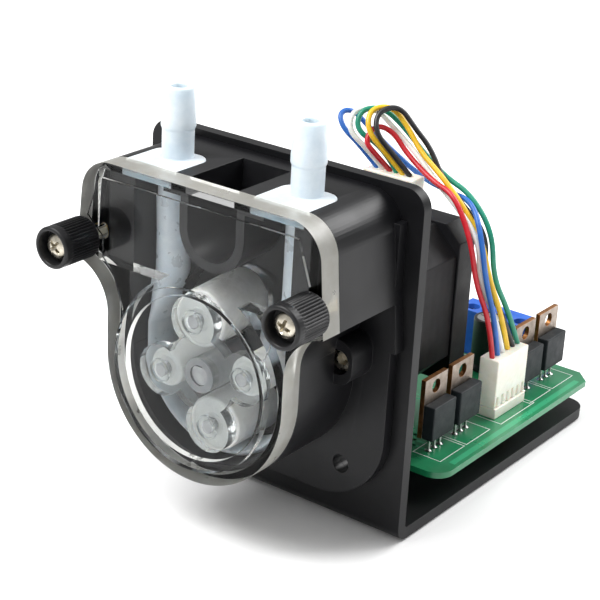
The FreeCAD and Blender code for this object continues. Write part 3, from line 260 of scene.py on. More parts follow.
def frosted_polycarbonate():
    material, tree, shader = surface("frosted_polycarbonate", Transmission_Weight=0.7, IOR=1.45)
    vary_colour(tree, shader, 8.0, "#d9d6c9", "#f2f1ea")
    vary_gloss(tree, shader, 5.0, 0.25, 0.5)
    add_grain(tree, shader, 0.8, 0.02)
    return material


def polypropylene():
    material, tree, shader = surface("natural_polypropylene", IOR=1.49, Subsurface_Weight=0.75,
                                     Subsurface_Scale=0.002, Subsurface_Radius=(0.9, 1.0, 1.0),
                                     Transmission_Weight=0.12)
    vary_colour(tree, shader, 6.0, "#d3dfe8", "#e6eef4")
    vary_gloss(tree, shader, 4.0, 0.28, 0.4)
    add_grain(tree, shader, 0.6, 0.006)
    return material


def silicone():
    material, tree, shader = surface("translucent_silicone", IOR=1.43, Subsurface_Weight=0.6,
                                     Subsurface_Scale=0.002, Subsurface_Radius=(0.8, 0.95, 1.0),
                                     Transmission_Weight=0.25)
    vary_colour(tree, shader, 5.0, "#cfdae4", "#e4ecf2")
    vary_gloss(tree, shader, 4.0, 0.24, 0.38)
    return material


def clear_styrene():
    material, tree, shader = surface("hazy_clear_styrene", Base_Color=linear("#f4f7f7"), IOR=1.3,
                                     Specular_IOR_Level=0.35, Transmission_Weight=0.96)
    vary_gloss(tree, shader, 5.0, 0.02, 0.08)
    add_grain(tree, shader, 6.0, 0.004)
    return material


def acetal():
    material, tree, shader = surface("white_acetal", IOR=1.48,
                                     Subsurface_Weight=0.35, Subsurface_Scale=0.0015,
                                     Subsurface_Radius=(1.0, 0.95, 0.85))
    vary_colour(tree, shader, 4.0, "#eeeeea", "#fafaf8")
    vary_gloss(tree, shader, 3.0, 0.22, 0.36)
    add_grain(tree, shader, 0.5, 0.004)
    return material


COVER_CLEAR, COVER_FROSTED, BARB_MILKY = polycarbonate(), frosted_polycarbonate(), polypropylene()
TUBE_MILKY, ROTOR_CLEAR, ROLLER_WHITE = silicone(), clear_styrene(), acetal()
print("clear:", COVER_CLEAR.name, COVER_FROSTED.name, ROTOR_CLEAR.name)

# %% [markdown]
# ## Metals
# A metal has no colour under its shine: the base colour is the shine. Zinc plate on the screws is slightly
# warm and handled; ground pins carry fine rings, drawn here as a fine grain; tinned copper tabs have dulled
# to brown-grey, and their sheared edges show bare copper.

# %% Metal materials
def metal(name, first, second, low, high, patch_mm, grain_mm=0.3, height_mm=0.003):
    material, tree, shader = surface(name, Metallic=1.0)
    vary_colour(tree, shader, patch_mm, first, second)
    vary_gloss(tree, shader, patch_mm * 1.3, low, high)
    add_grain(tree, shader, grain_mm, height_mm)
    return material


ZINC_PLATE = metal("bright_zinc_plate", "#a39c8c", "#d6d0c2", 0.2, 0.38, 1.6)
GROUND_STEEL = metal("ground_steel", "#86888a", "#a3a5a6", 0.36, 0.5, 3.0)
DARK_STEEL = metal("oiled_steel", "#4c4c4e", "#66666a", 0.3, 0.45, 4.0)
MACHINED_BRASS = metal("machined_brass", "#b3924c", "#d0b06a", 0.24, 0.38, 2.0)
TINNED_COPPER = metal("tinned_copper_tab", "#83776c", "#a79b90", 0.3, 0.48, 2.2)
SHEARED_COPPER = metal("sheared_copper_edge", "#8d5f38", "#b78253", 0.35, 0.5, 1.5)
TIN_SOLDER = metal("tin_solder", "#a9aaa8", "#d5d6d3", 0.22, 0.4, 1.0)

# %% [markdown]
# ## Board and connector plastics
# A circuit board's green is a lacquer over copper and glass cloth: glossy, with the copper tracks showing
# through as a slightly lighter green. The connectors are nylon, which is a warm white and lets a little
# light in.

# %% Board and connector materials
def lacquer(name, first, second, low, high):
    material, tree, shader = surface(name, IOR=1.52, Coat_Weight=0.25, Coat_Roughness=0.12)
    vary_colour(tree, shader, 11.0, first, second)
    vary_gloss(tree, shader, 9.0, low, high)
    add_grain(tree, shader, 0.6, 0.006)
    return material


def moulded(name, first, second, scatter):
    material, tree, shader = surface(name, IOR=1.52, Subsurface_Weight=scatter, Subsurface_Scale=0.001)
    vary_colour(tree, shader, 4.0, first, second)
    vary_gloss(tree, shader, 3.5, 0.32, 0.48)
    add_grain(tree, shader, 0.3, 0.006)
    return material


MASK_GREEN = lacquer("green_solder_mask", "#17754a", "#218a5b", 0.26, 0.4)
TRACK_GREEN = lacquer("green_mask_over_copper", "#2b9c6b", "#37aa79", 0.24, 0.36)
INK_WHITE = moulded("white_screen_ink", "#dfe6e0", "#f0f4f0", 0.0)
NYLON_WHITE = moulded("natural_nylon", "#e6e3d6", "#f4f2e8", 0.25)
TERMINAL_BLUE = moulded("blue_polyamide", "#1c55b4", "#2a68cc", 0.08)
SLEEVE_BLACK = moulded("black_shrink_sleeve", "#141517", "#1f2023", 0.0)
INSULATION = {
    "wire_blue": moulded("blue_pvc", "#1d58a8", "#2a6cbf", 0.05),
    "wire_white": moulded("white_pvc", "#dcdcd6", "#efefea", 0.1),
    "wire_red": moulded("red_pvc", "#b3121f", "#cb2230", 0.05),
    "wire_green": moulded("green_pvc", "#0b7a60", "#139074", 0.05),
    "wire_yellow": moulded("yellow_pvc", "#dcae12", "#edc32c", 0.08),
    "wire_black": moulded("black_pvc", "#141416", "#222225", 0.0),
}
print("materials made:", len(bpy.data.materials))

# %% [markdown]
# ## From points to pieces
# Every piece below is a mesh made from arrays of points, or a copy of a model node with its edges rounded. A
# moulded part never has a knife edge, and the thin bright line that light draws along a rounded one is what
# makes it read as a real thing. The model's own surface is triangles, so a copy is first merged back into
# flat faces, and then its sharp edges get a bevel.

# %% Mesh helpers
def make_piece(name, mesh, materials, body, stands_for=()):
    """Put a mesh in the scene with its materials, and let it ride on a body of the model."""
    for material in materials:
        mesh.materials.append(material)
    piece = bpy.data.objects.new(name, mesh)
    bpy.context.scene.collection.objects.link(piece)
    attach(piece, body)
    if stands_for:
        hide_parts(*stands_for)
    return piece


def tidy(mesh, merge_mm=0.0005, flat_degrees=0.0, crease_degrees=35.0):
    """Merge points that coincide, turn every face outwards, and shade smoothly between the creases."""
    shape = bmesh.new()
    shape.from_mesh(mesh)
    bmesh.ops.remove_doubles(shape, verts=shape.verts, dist=merge_mm * MM)
    bmesh.ops.dissolve_degenerate(shape, edges=shape.edges, dist=merge_mm * MM)
    if flat_degrees:
        bmesh.ops.dissolve_limit(shape, angle_limit=math.radians(flat_degrees),
                                 verts=shape.verts, edges=shape.edges)
    bmesh.ops.recalc_face_normals(shape, faces=shape.faces)
    shape.to_mesh(mesh)
    shape.free()
    mesh.polygons.foreach_set("use_smooth", np.ones(len(mesh.polygons), dtype=bool))
    mesh.set_sharp_from_angle(angle=math.radians(crease_degrees))
    return mesh


def mesh_of(name, points_mm, faces):
    mesh = bpy.data.meshes.new(name)
    mesh.from_pydata((np.asarray(points_mm) * MM).tolist(), [], faces)
    return mesh


def grid_faces(rows, columns, close_rows=False, close_columns=False):
    """Quads over a grid: square (i, j) joins points (i, j), (i+1, j), (i+1, j+1) and (i, j+1)."""
    i, j = np.meshgrid(np.arange(rows if close_rows else rows - 1),
                       np.arange(columns if close_columns else columns - 1), indexing="ij")
    next_i, next_j = (i + 1) % rows, (j + 1) % columns
    corners = (i * columns + j, next_i * columns + j, next_i * columns + next_j, i * columns + next_j)
    return np.stack([c.ravel() for c in corners], axis=1).tolist()


def round_copy(node, width_mm, materials, name=None, segments=2, flat_degrees=0.6):
    """A copy of a model node, with its edges sharper than 30 degrees rounded to width_mm."""
    source = frame["nodes"][node]
    mesh = tidy(source.data.copy(), flat_degrees=flat_degrees, crease_degrees=30.0)
    mesh.materials.clear()
    piece = make_piece(name or node + "_look", mesh, materials, body_name(node), [node])
    bevel = piece.modifiers.new("rounded_edges", "BEVEL")
    bevel.width = width_mm * MM
    bevel.segments = segments
    bevel.limit_method = "ANGLE"
    bevel.angle_limit = math.radians(30)
    bevel.harden_normals = True
    bevel.use_clamp_overlap = True
    return piece


def body_name(node):
    """The model body that a node belongs to."""
    return next(body for body, nodes in frame["record"]["behaviour"]["bodies"].items() if node in nodes)


def paint(node, material):
    """A small node whose own mesh is good enough gets only a material."""
    piece = frame["nodes"][node]
    piece.data.materials.clear()
    piece.data.materials.append(material)
    return piece


# %% [markdown]
# ## Turned parts
# Anything made on a lathe is a profile swept round an axis. A profile is a list of (radius, distance along
# the axis); if its two ends meet, the part has a bore. The sweep is one formula on a grid, with no loop.

# %% Turning
AXES = {
    "y": (np.array([1.0, 0, 0]), np.array([0, 0, 1.0]), np.array([0, 1.0, 0])),
    "-y": (np.array([1.0, 0, 0]), np.array([0, 0, 1.0]), np.array([0, -1.0, 0])),
    "z": (np.array([1.0, 0, 0]), np.array([0, 1.0, 0]), np.array([0, 0, 1.0])),
}


def swept(profile, centre, axis, angles, radius_change=0.0):
    """P(s, t) = centre + (r(s) + change(s, t)) (cos t U + sin t V) + h(s) W, in mm."""
    across, up, along = AXES[axis]
    radius, height = np.asarray(profile, dtype=float).T
    r = radius[:, None] + radius_change
    ring = np.cos(angles)[:, None] * across + np.sin(angles)[:, None] * up
    return np.asarray(centre) + r[..., None] * ring[None] + height[:, None, None] * along


def turned(name, profile, centre, axis="y", segments=64, bored=True):
    """A lathe part. A bored profile is a closed loop; otherwise both of its ends lie on the axis."""
    angles = np.linspace(0, 2 * np.pi, segments, endpoint=False)
    points = swept(profile, centre, axis, angles)
    faces = grid_faces(len(profile), segments, bored, True)
    return tidy(mesh_of(name, points.reshape(-1, 3), faces))


def corner(centre, radius, start, end, steps=4):
    """A rounded corner in a profile: an arc about centre from start to end, in degrees."""
    angle = np.radians(np.linspace(start, end, steps + 1))
    return list(zip(centre[0] + radius * np.cos(angle), centre[1] + radius * np.sin(angle)))


def blocks(name, corners_mm):
    """Many separate boxes as one mesh; each is (low x, low y, low z, high x, high y, high z)."""
    spans = np.asarray(corners_mm, dtype=float).reshape(-1, 2, 3)
    pick = np.array([[0, 0, 0], [1, 0, 0], [1, 1, 0], [0, 1, 0], [0, 0, 1], [1, 0, 1], [1, 1, 1], [0, 1, 1]])
    points = spans[:, pick, np.arange(3)].reshape(-1, 3)
    sides = np.array([[0, 3, 2, 1], [4, 5, 6, 7], [0, 1, 5, 4], [1, 2, 6, 5], [2, 3, 7, 6], [3, 0, 4, 7]])
    faces = (sides[None] + 8 * np.arange(len(spans))[:, None, None]).reshape(-1, 4)
    return mesh_of(name, points, faces.tolist())


def joined(name, meshes):
    """Several meshes as one."""
    shape = bmesh.new()
    for mesh in meshes:
        shape.from_mesh(mesh)
        bpy.data.meshes.remove(mesh)
    whole = bpy.data.meshes.new(name)
    shape.to_mesh(whole)
    shape.free()
    whole.polygons.foreach_set("use_smooth", np.ones(len(whole.polygons), dtype=bool))
    whole.set_sharp_from_angle(angle=math.radians(35))
    return whole


# %% [markdown]
# ## The motor's wires
# Six PVC wires leave the motor's plug, hop up and over, and drop to the board's plug. Each is stranded wire
# of 1.4 mm outside diameter, held by its own stiffness only, so it runs in smooth bends: a B-spline whose
# control points are the route. Its two ends stay in the plugs.

# %% Wires
ROUTES = {
    "wire_red": [
        (-3, 4, 70), (-5.9, 0.3, 75), (-8.2, -1, 77.9), (-7.8, 3.1, 81.5), (-4.1, 5.7, 79.8),
        (0.3, 5.7, 75.1), (9.5, 4.2, 70.2), (17.6, 2.2, 69.1), (24.3, 0.8, 58.5),
        (25.4, 2.8, 47.5), (28.6, 6, 37.4), (29.2, 8.2, 26.6),
    ],
    "wire_blue": [
        (-7, 4, 70), (-11.9, 2.2, 75.5), (-16.4, 0.6, 79.4), (-18.6, 2.2, 82.6), (-16.8, 5.6, 83),
        (-12.8, 8.4, 78), (-6.7, 10.8, 72.5), (2.4, 11.2, 67.6), (10.8, 10, 66.5),
        (20.1, 6.9, 66.9), (26.3, 2, 60), (27.6, 3.9, 48.2), (29.2, 7.6, 37.4), (29.2, 10.7, 26.6),
    ],
    "wire_white": [
        (-5, 4, 70), (-9, 1.6, 75.1), (-13.7, -0.6, 79.5), (-14.7, 2.7, 84.1), (-10.7, 7.1, 84.3),
        (-5.3, 8, 79.9), (2.1, 7.6, 74.9), (9.4, 5.9, 69.9), (16.2, 3.2, 67.1), (25.4, 2.8, 59.3),
        (25.2, 4.6, 47.4), (28.6, 9.3, 37.4), (29.2, 13.2, 26.6),
    ],
    "wire_yellow": [
        (1, 4, 70), (-3.2, 1.4, 75.4), (-7.6, -1, 80.7), (-9.5, 2.3, 85.3), (-5.9, 7, 86),
        (-1.3, 7.9, 81.3), (3.7, 6.8, 76), (10.9, 5.6, 71.9), (17.3, 4.7, 67.2), (24.8, 4.6, 59.2),
        (27.5, 5.7, 48.3), (29.3, 10.9, 37.4), (29.2, 15.8, 26.6),
    ],
    "wire_black": [
        (3, 4, 70), (-1.2, 1.6, 75.5), (-5.5, -0.6, 80.7), (-7.2, 2.5, 85.2), (-3.5, 6.9, 86.5),
        (1, 7.7, 81.4), (5.7, 8.4, 77), (10.3, 7.2, 70.8), (16.2, 6.2, 66.6), (25.5, 6.4, 59.6),
        (25, 6.8, 47.4), (28.5, 12.6, 37.4), (29.2, 18.3, 26.6),
    ],
    "wire_green": [
        (-1, 4, 70), (-5.2, 3.1, 76.1), (-11.8, 0.1, 79.6), (-12.5, 2.6, 84.5), (-8.6, 7, 85),
        (-3.5, 8.6, 81.2), (3, 8.7, 75.8), (10.1, 8.9, 70.6), (18.1, 9.3, 67.6), (26.2, 7.4, 60.1),
        (27.5, 7.7, 48.2), (29.3, 14.3, 37.5), (29.2, 20.9, 26.6),
    ],
}
WIRE_RADIUS = 0.7


for wire_name, route in ROUTES.items():
    curve = bpy.data.curves.new(wire_name + "_look", "CURVE")
    curve.dimensions = "3D"
    spline = curve.splines.new("NURBS")
    spline.points.add(len(route) - 1)
    for control, place in zip(spline.points, route):
        control.co = (*(c * MM for c in place), 1.0)
    spline.order_u = 3
    spline.use_endpoint_u = True
    spline.resolution_u = 12
    curve.bevel_depth = WIRE_RADIUS * MM
    curve.bevel_resolution = 5
    curve.use_fill_caps = True
    curve.materials.append(INSULATION[wire_name])
    wire = bpy.data.objects.new(wire_name + "_look", curve)
    bpy.context.scene.collection.objects.link(wire)
    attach(wire, "frame")
    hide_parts(wire_name)

# %% [markdown]
# ## The L bracket
# Three-millimetre steel sheet, cut, folded once and powder coated. Powder paint pulls back from an edge and
# leaves it softly rounded, by about a third of a millimetre.

# %% Bracket
bracket = round_copy("l_bracket", 0.45, [BRACKET_BLACK], segments=3)
print("bracket faces:", len(bracket.data.polygons))

# %% [markdown]
# ## The pump head
# The housing is one black moulding: a drum round the rotor, two lugs for the thumb screws, and a flange with
# two bosses for the motor's screws. The barbs slide into slots in its top.

# %% Housing, barbs and tube
housing = round_copy("pump_housing", 0.4, [HOUSING_BLACK], segments=3)
for side in ("left", "right"):
    round_copy("hose_barb_" + side, 0.3, [BARB_MILKY], segments=3)
paint("pump_tube", TUBE_MILKY)
paint("threaded_inserts", MACHINED_BRASS)
for node in ("head_screws", "head_nuts"):
    round_copy(node, 0.12, [ZINC_PLATE])
print("housing faces:", len(housing.data.polygons))

# %% [markdown]
# ## The clear cover
# The cover is a shallow tray of clear polycarbonate: a panel raised inside a flat rim, and a raised round
# window over the rotor. Its inside and front are polished. The outside of its skirt is left as the mould's
# ground surface, so that face alone is frosted: it is picked by its direction and depth.

# %% Cover
cover = round_copy("front_cover", 0.35, [COVER_CLEAR, COVER_FROSTED], segments=3)
face_count = len(cover.data.polygons)
normals, centres = np.empty(face_count * 3), np.empty(face_count * 3)
cover.data.polygons.foreach_get("normal", normals)
cover.data.polygons.foreach_get("center", centres)
normals, centres = normals.reshape(-1, 3), centres.reshape(-1, 3) / MM
outwards = centres - np.array([0, 0, 1]) * np.clip(centres[:, 2:], 40.6, 66.5)
outwards[:, 1] = 0
facing_out = np.einsum("ij,ij->i", normals, outwards) > 0.3 * np.linalg.norm(outwards, axis=1)
skirt = (np.abs(normals[:, 1]) < 0.3) & (centres[:, 1] > -76.4) & facing_out
cover.data.polygons.foreach_set("material_index", skirt.astype(np.int32))
print("cover faces:", face_count, "of them frosted:", int(skirt.sum()))

# %% [markdown]
# ## The rotor
# Two clear plates carry two pump rollers and two guide rollers on steel pins. The front plate has a raised
# ring round each pin, which stiffens it. The rollers are turned acetal with softly rounded ends.

# %% Rotor
ROTOR_AXIS = (0.0, 40.6)
PHASE = math.radians(12.0)
PUMP_PITCH, GUIDE_PITCH = 12.5, 12.0


def on_arm(pitch_mm, quarter):
    """X and Z of the point on one of the rotor's four arms: 0 is right, 1 top, 2 left and 3 bottom."""
    angle = PHASE + quarter * math.pi / 2
    return ROTOR_AXIS[0] + pitch_mm * math.cos(angle), ROTOR_AXIS[1] + pitch_mm * math.sin(angle)


def roller_profile(radius, length, bore, rounding=0.6):
    """From the bore, out over the end face, along the barrel, and back: a shallow step round the bore."""
    profile = [(bore, 0.0), (bore + 1.0, 0.0), (bore + 1.2, 0.25)]
    profile += [(radius - rounding - 0.4, 0.25), (radius - rounding - 0.2, 0.1)]
    profile += corner((radius - rounding, 0.1 + rounding), rounding, -90, 0)
    profile += corner((radius - rounding, length - 0.1 - rounding), rounding, 0, 90)
    profile += [(radius - rounding - 0.2, length - 0.1), (radius - rounding - 0.4, length - 0.25)]
    profile += [(bore + 1.2, length - 0.25), (bore + 1.0, length), (bore, length)]
    return profile


for node, body, quarter, pitch, radius in (
        ("pump_roller_top", "roller_top", 1, PUMP_PITCH, 6.7),
        ("pump_roller_bottom", "roller_bottom", 3, PUMP_PITCH, 6.7),
        ("guide_roller_left", "guide_left", 2, GUIDE_PITCH, 4.6),
        ("guide_roller_right", "guide_right", 0, GUIDE_PITCH, 4.6)):
    x, z = on_arm(pitch, quarter)
    mesh = turned(node + "_look", roller_profile(radius, 16.0, 1.66), (x, -69.9, z), segments=96)
    make_piece(node + "_look", mesh, [ROLLER_WHITE], body, [node])

for plate in ("rotor_front_plate", "rotor_rear_plate"):
    round_copy(plate, 0.35, [ROTOR_CLEAR], segments=3)
for pin in ("top", "bottom", "left", "right"):
    round_copy("roller_pin_" + pin, 0.3, [GROUND_STEEL], segments=3)
ring_profile = [(2.5, -0.1)] + corner((2.72, 0.22), 0.2, 180, 0, 8) + [(2.94, -0.1)]
pin_rings = []
for quarter, pitch in ((0, GUIDE_PITCH), (1, PUMP_PITCH), (2, GUIDE_PITCH), (3, PUMP_PITCH)):
    x, z = on_arm(pitch, quarter)
    pin_rings.append(turned("pin_ring", ring_profile, (x, -73.0, z), axis="-y", segments=72))
make_piece("rotor_pin_rings", joined("rotor_pin_rings", pin_rings), [ROTOR_CLEAR], "rotor")
round_copy("rotor_hub", 0.3, [moulded("grey_moulded_hub", "#6f7274", "#85888a", 0.1)])
round_copy("motor_shaft", 0.2, [GROUND_STEEL])
paint("hub_set_screw", DARK_STEEL)
print("rotor pieces made")

# %% [markdown]
# ## Thumb screws
# A knurled nylon knob is moulded round a Phillips screw. The knurl is forty straight ribs, rounded like the
# cutter that sank them in the mould; they run out at a smooth collar. The ribs take a little off the radius:
# depth (1 - |cos(20 t)|) round the knob.

# %% Knobs
RIBS, RIB_DEPTH = 40, 0.32
knob_profile = [(1.5, 0.0), (4.3, 0.0)] + corner((4.55, 0.45), 0.42, -90, 0, 3)
knob_profile += [(4.98, h) for h in (0.6, 1.0, 2.5, 4.0, 5.5, 7.0, 8.2, 8.6)] + [(4.9, 8.9)]
knob_profile += corner((4.4, 10.3), 0.58, 0, 90, 5) + corner((4.3, 10.5), 0.4, 90, 180, 3)
knob_profile += [(3.88, 7.9), (1.5, 7.9)]
knob_angles = np.linspace(0, 2 * np.pi, RIBS * 8, endpoint=False)
knob_heights = np.array([h for r, h in knob_profile])
knob_radii = np.array([r for r, h in knob_profile])
rising = np.clip((knob_heights - 0.3) / 0.5, 0, 1)
running_out = np.clip((8.75 - knob_heights) / 0.4, 0, 1)
ribbed = rising * running_out * (knob_radii > 4.5)
dips = RIB_DEPTH * (1 - np.abs(np.cos(RIBS / 2 * knob_angles)))
for side, x in (("left", -32.3), ("right", 32.3)):
    points = swept(knob_profile, (x, -77.1, 66.5), "-y", knob_angles, -ribbed[:, None] * dips[None])
    mesh = mesh_of("knob", points.reshape(-1, 3),
                   grid_faces(len(knob_profile), len(knob_angles), True, True))
    make_piece("thumb_knob_" + side + "_look", tidy(mesh, crease_degrees=50), [KNOB_BLACK],
               "thumb_" + side, ["thumb_knob_" + side])
    round_copy("thumb_washer_" + side, 0.15, [ZINC_PLATE])
print("ribs on each knob:", RIBS)

# %% [markdown]
# ## Phillips heads
# A pan head is a low dome with a cross sunk in it. Over a disc of points, the height is the dome's less the
# deeper of the two slots, where a slot is a flat-bottomed trench that gets shallower towards its ends. The
# shank is an M3 thread: the radius is a saw tooth of (h / pitch - t / 2 pi), so that the ridge climbs.

# %% Thumb screws
HEAD_RADIUS, HEAD_HEIGHT, SHANK_RADIUS, THREAD_PITCH = 2.85, 2.0, 1.4, 0.5


def slot_depth(across, along):
    """1 in the middle of a slot, 0 outside it: side walls by clip((w - |u|) / s), ends by 1 - (v / L)^2."""
    walls = np.clip((0.42 - np.abs(across)) / 0.16, 0, 1)
    return walls * np.clip(1.15 * (1 - (along / 1.75) ** 2), 0, 1)


def phillips_head(name, centre, turn):
    """z(x, y) = H - dome (r / R)^2.6 - depth max(slot(x, y), slot(y, x), middle), and a rim below it."""
    radii = np.concatenate([np.linspace(0.02, 1.9, 30), np.linspace(2.0, HEAD_RADIUS - 0.1, 8)])
    angles = np.linspace(0, 2 * np.pi, 128, endpoint=False)
    r, t = np.meshgrid(radii, angles, indexing="ij")
    x, y = r * np.cos(t + turn), r * np.sin(t + turn)
    middle = 0.75 * np.clip(1 - r / 0.75, 0, 1)
    height = HEAD_HEIGHT - 0.75 * (r / HEAD_RADIUS) ** 2.6
    height -= 1.25 * np.maximum(np.maximum(slot_depth(x, y), slot_depth(y, x)), middle)
    rim = [(HEAD_RADIUS, 1.1), (HEAD_RADIUS, 0.15), (HEAD_RADIUS - 0.12, 0.0), (0.02, 0.0)]
    radius = np.vstack([r, [np.full(len(angles), a) for a, h in rim]])
    height = np.vstack([height, [np.full(len(angles), h) for a, h in rim]])
    across, up, along = AXES["-y"]
    ring = np.cos(angles)[:, None] * across + np.sin(angles)[:, None] * up
    points = np.asarray(centre) + radius[..., None] * ring[None] + height[..., None] * along
    rows, count = radius.shape
    ends = [list(range(count)), list(range((rows - 1) * count, rows * count))]
    return tidy(mesh_of(name, points.reshape(-1, 3), grid_faces(rows, count, False, True) + ends),
                merge_mm=0.0001, crease_degrees=40)


def threaded_shank(name, centre, length):
    """r = R - depth saw(h / pitch - t / 2 pi), where saw is 0 on a crest and 1 in the root."""
    heights = np.arange(0, length + 0.01, THREAD_PITCH / 4)
    angles = np.linspace(0, 2 * np.pi, 32, endpoint=False)
    phase = heights[:, None] / THREAD_PITCH - angles[None] / (2 * np.pi)
    saw = 2 * np.abs(phase - np.floor(phase + 0.5))
    profile = [(SHANK_RADIUS, h) for h in heights]
    points = swept(profile, centre, "y", angles, -0.22 * saw).reshape(-1, 3)
    count = len(angles)
    ends = [list(range(count)), list(range(len(points) - count, len(points)))]
    return tidy(mesh_of(name, points, grid_faces(len(heights), count, False, True) + ends),
                crease_degrees=70)


for side, x, turn in (("left", -32.3, 0.75), ("right", 32.3, 0.35)):
    head = phillips_head("screw_head", (x, -84.9, 66.5), turn)
    shank = threaded_shank("screw_shank", (x, -84.9, 66.5), 20.4)
    make_piece("thumb_screw_" + side + "_look", joined("thumb_screw_" + side + "_look", [head, shank]),
               [ZINC_PLATE], "thumb_" + side, ["thumb_screw_" + side])
print("thumb screws made")

# %% [markdown]
# ## The stepper motor
# Two painted end caps clamp a stack of thin steel sheets. Four long screws in the corners hold them
# together. The plug is nylon, like the one on the board.

# %% Motor
for cap in ("motor_front_cap", "motor_rear_cap"):
    round_copy(cap, 0.4, [CASTING_BLACK], segments=3)
round_copy("motor_stator", 0.25, [STACK_BLACK])
paint("motor_rotor_core", DARK_STEEL)
paint("motor_bearings", GROUND_STEEL)
for node in ("motor_case_screws", "motor_mount_screws"):
    round_copy(node, 0.12, [DARK_STEEL])
round_copy("motor_plug", 0.3, [NYLON_WHITE], segments=3)
print("motor pieces made")

# %% [markdown]
# ## The driver board
# The board is glass-epoxy with a green lacquer. On it, from the front: two power transistors, the motor's
# connector, two more transistors, and behind them the terminal block, the supply capacitor and the driver
# chip. White outlines are screen printed, thirty microns thick. Copper tracks show through the lacquer.

# %% Board
BOARD_TOP, BOARD_UNDER = 10.4, 8.8
round_copy("circuit_board", 0.15, [MASK_GREEN])
round_copy("board_screws", 0.15, [ZINC_PLATE])
round_copy("board_standoffs", 0.15, [MACHINED_BRASS])


def outline(left, front, right, rear, width=0.22):
    """Four thin bars round a rectangle on the board's top."""
    low, high, w = BOARD_TOP - 0.005, BOARD_TOP + 0.03, width
    return [(left, front, low, right, front + w, high), (left, rear - w, low, right, rear, high),
            (left, front + w, low, left + w, rear - w, high),
            (right - w, front + w, low, right, rear - w, high)]


TRANSISTOR_STARTS = (-21.3, -9.1, 22.3, 34.5)
PITCH = 2.54
LEAD_X, FIRST_LEAD = 28.8, 2.46
PIN_X, FIRST_PIN_Y = 29.2, 8.15
ink = []
for start in TRANSISTOR_STARTS:
    ink += outline(26.2, start - 0.7, 34.4, start + 10.7)
ink += outline(25.4, 5.9, 35.0, 23.1) + outline(-0.5, 36.5, 23.3, 46.8)
ink += outline(-8.2, -8.0, 8.2, 7.0)
ink += outline(-30.0, -20.0, -14.0, -8.0) + outline(-30.0, 20.0, -20.0, 34.0)
make_piece("board_print", blocks("board_print", ink), [INK_WHITE], "frame")
print("bars of white print:", len(ink))

# %% [markdown]
# Tracks run as straight copper strips with corners at 45 degrees. A strip is a thin box along its run, and a
# wide one near the edge is the ground plane.

# %% Tracks
def strip(start, end, width):
    """A flat bar from start to end on the board's top: its corners are the ends plus and minus n w / 2."""
    start, end = np.array(start, dtype=float), np.array(end, dtype=float)
    along = (end - start) / np.linalg.norm(end - start)
    side = np.array([-along[1], along[0]]) * width / 2
    start, end = start - along * width / 2, end + along * width / 2
    foot = np.array([start - side, end - side, end + side, start + side])
    low = np.column_stack([foot, np.full(4, BOARD_TOP - 0.01)])
    high = np.column_stack([foot, np.full(4, BOARD_TOP + 0.015)])
    faces = [[3, 2, 1, 0], [4, 5, 6, 7], [0, 1, 5, 4], [1, 2, 6, 5], [2, 3, 7, 6], [3, 0, 4, 7]]
    return mesh_of("strip", np.vstack([low, high]), faces)


runs = []
for number, start in enumerate(TRANSISTOR_STARTS):
    for lead in range(3):
        y = start + FIRST_LEAD + PITCH * lead
        bend, slant = 24.5 - 1.4 * lead, 4 if number < 2 else -4
        runs += [((LEAD_X, y), (bend, y), 1.0), ((bend, y), (bend - 4, y + slant), 1.0)]
for pin in range(6):
    y, bend = FIRST_PIN_Y + PITCH * pin, 18.0 - 0.9 * pin
    runs += [((PIN_X, y), (bend, y), 0.5), ((bend, y), (9.0, y - 5 + 0.3 * pin), 0.5)]
runs += [((36.9, -20.0), (36.9, 42.0), 1.6), ((-35.0, -18.0), (-35.0, 38.0), 1.6),
         ((-20, 10), (-20, 34), 0.8), ((-26, 12), (-26, 18), 0.5), ((-12, 12), (-6, 18), 0.5),
         ((-6, 18), (-6, 30), 0.5), ((-12, -12), (-12, 12), 0.8)]
make_piece("board_tracks", joined("board_tracks", [strip(*run) for run in runs]),
           [TRACK_GREEN], "frame")
print("tracks:", len(runs))

# %% [markdown]
# ## Solder
# Molten solder wets the lead and the pad and sets as a hollow-sided cone: its height falls off fast by the
# lead and slowly at the pad's rim, as the power 1.6 of the way in.

# %% Solder joints
def solder_cone(at, up, radius=1.0, height=1.0):
    """h(r) = height (1 - r / radius)^1.6 over the pad, on the board's top or underside."""
    way = np.linspace(1, 0, 6)
    profile = [(0.0, -0.02), (radius, -0.02)] + [(radius * w, height * (1 - w) ** 1.6) for w in way]
    sides = 16
    angles = np.linspace(0, 2 * np.pi, sides, endpoint=False)
    points = swept([(r, h if up else -h) for r, h in profile], at, "z", angles)
    return tidy(mesh_of("solder", points.reshape(-1, 3), grid_faces(len(profile), sides, False, True)))


joints = []
for start in TRANSISTOR_STARTS:
    for lead in range(3):
        joints.append((LEAD_X, start + FIRST_LEAD + PITCH * lead))
cones = [solder_cone((x, y, BOARD_TOP), True) for x, y in joints]
cones += [solder_cone((x, y, BOARD_UNDER), False, 1.1, 0.9) for x, y in joints]
cones += [solder_cone((PIN_X, FIRST_PIN_Y + PITCH * pin, BOARD_UNDER), False, 0.9, 0.9) for pin in range(6)]
make_piece("solder_joints", joined("solder_joints", cones), [TIN_SOLDER], "frame")
print("solder joints:", len(cones))

# %% [markdown]
# ## Power transistors
# Each transistor is a black epoxy block moulded on a tinned copper tab with a hole in it. The tab is sheared
# from strip, so its narrow edges are bare copper: those are the faces that point along the board or up.
# Below the block are the leads, which are dipped in solder.

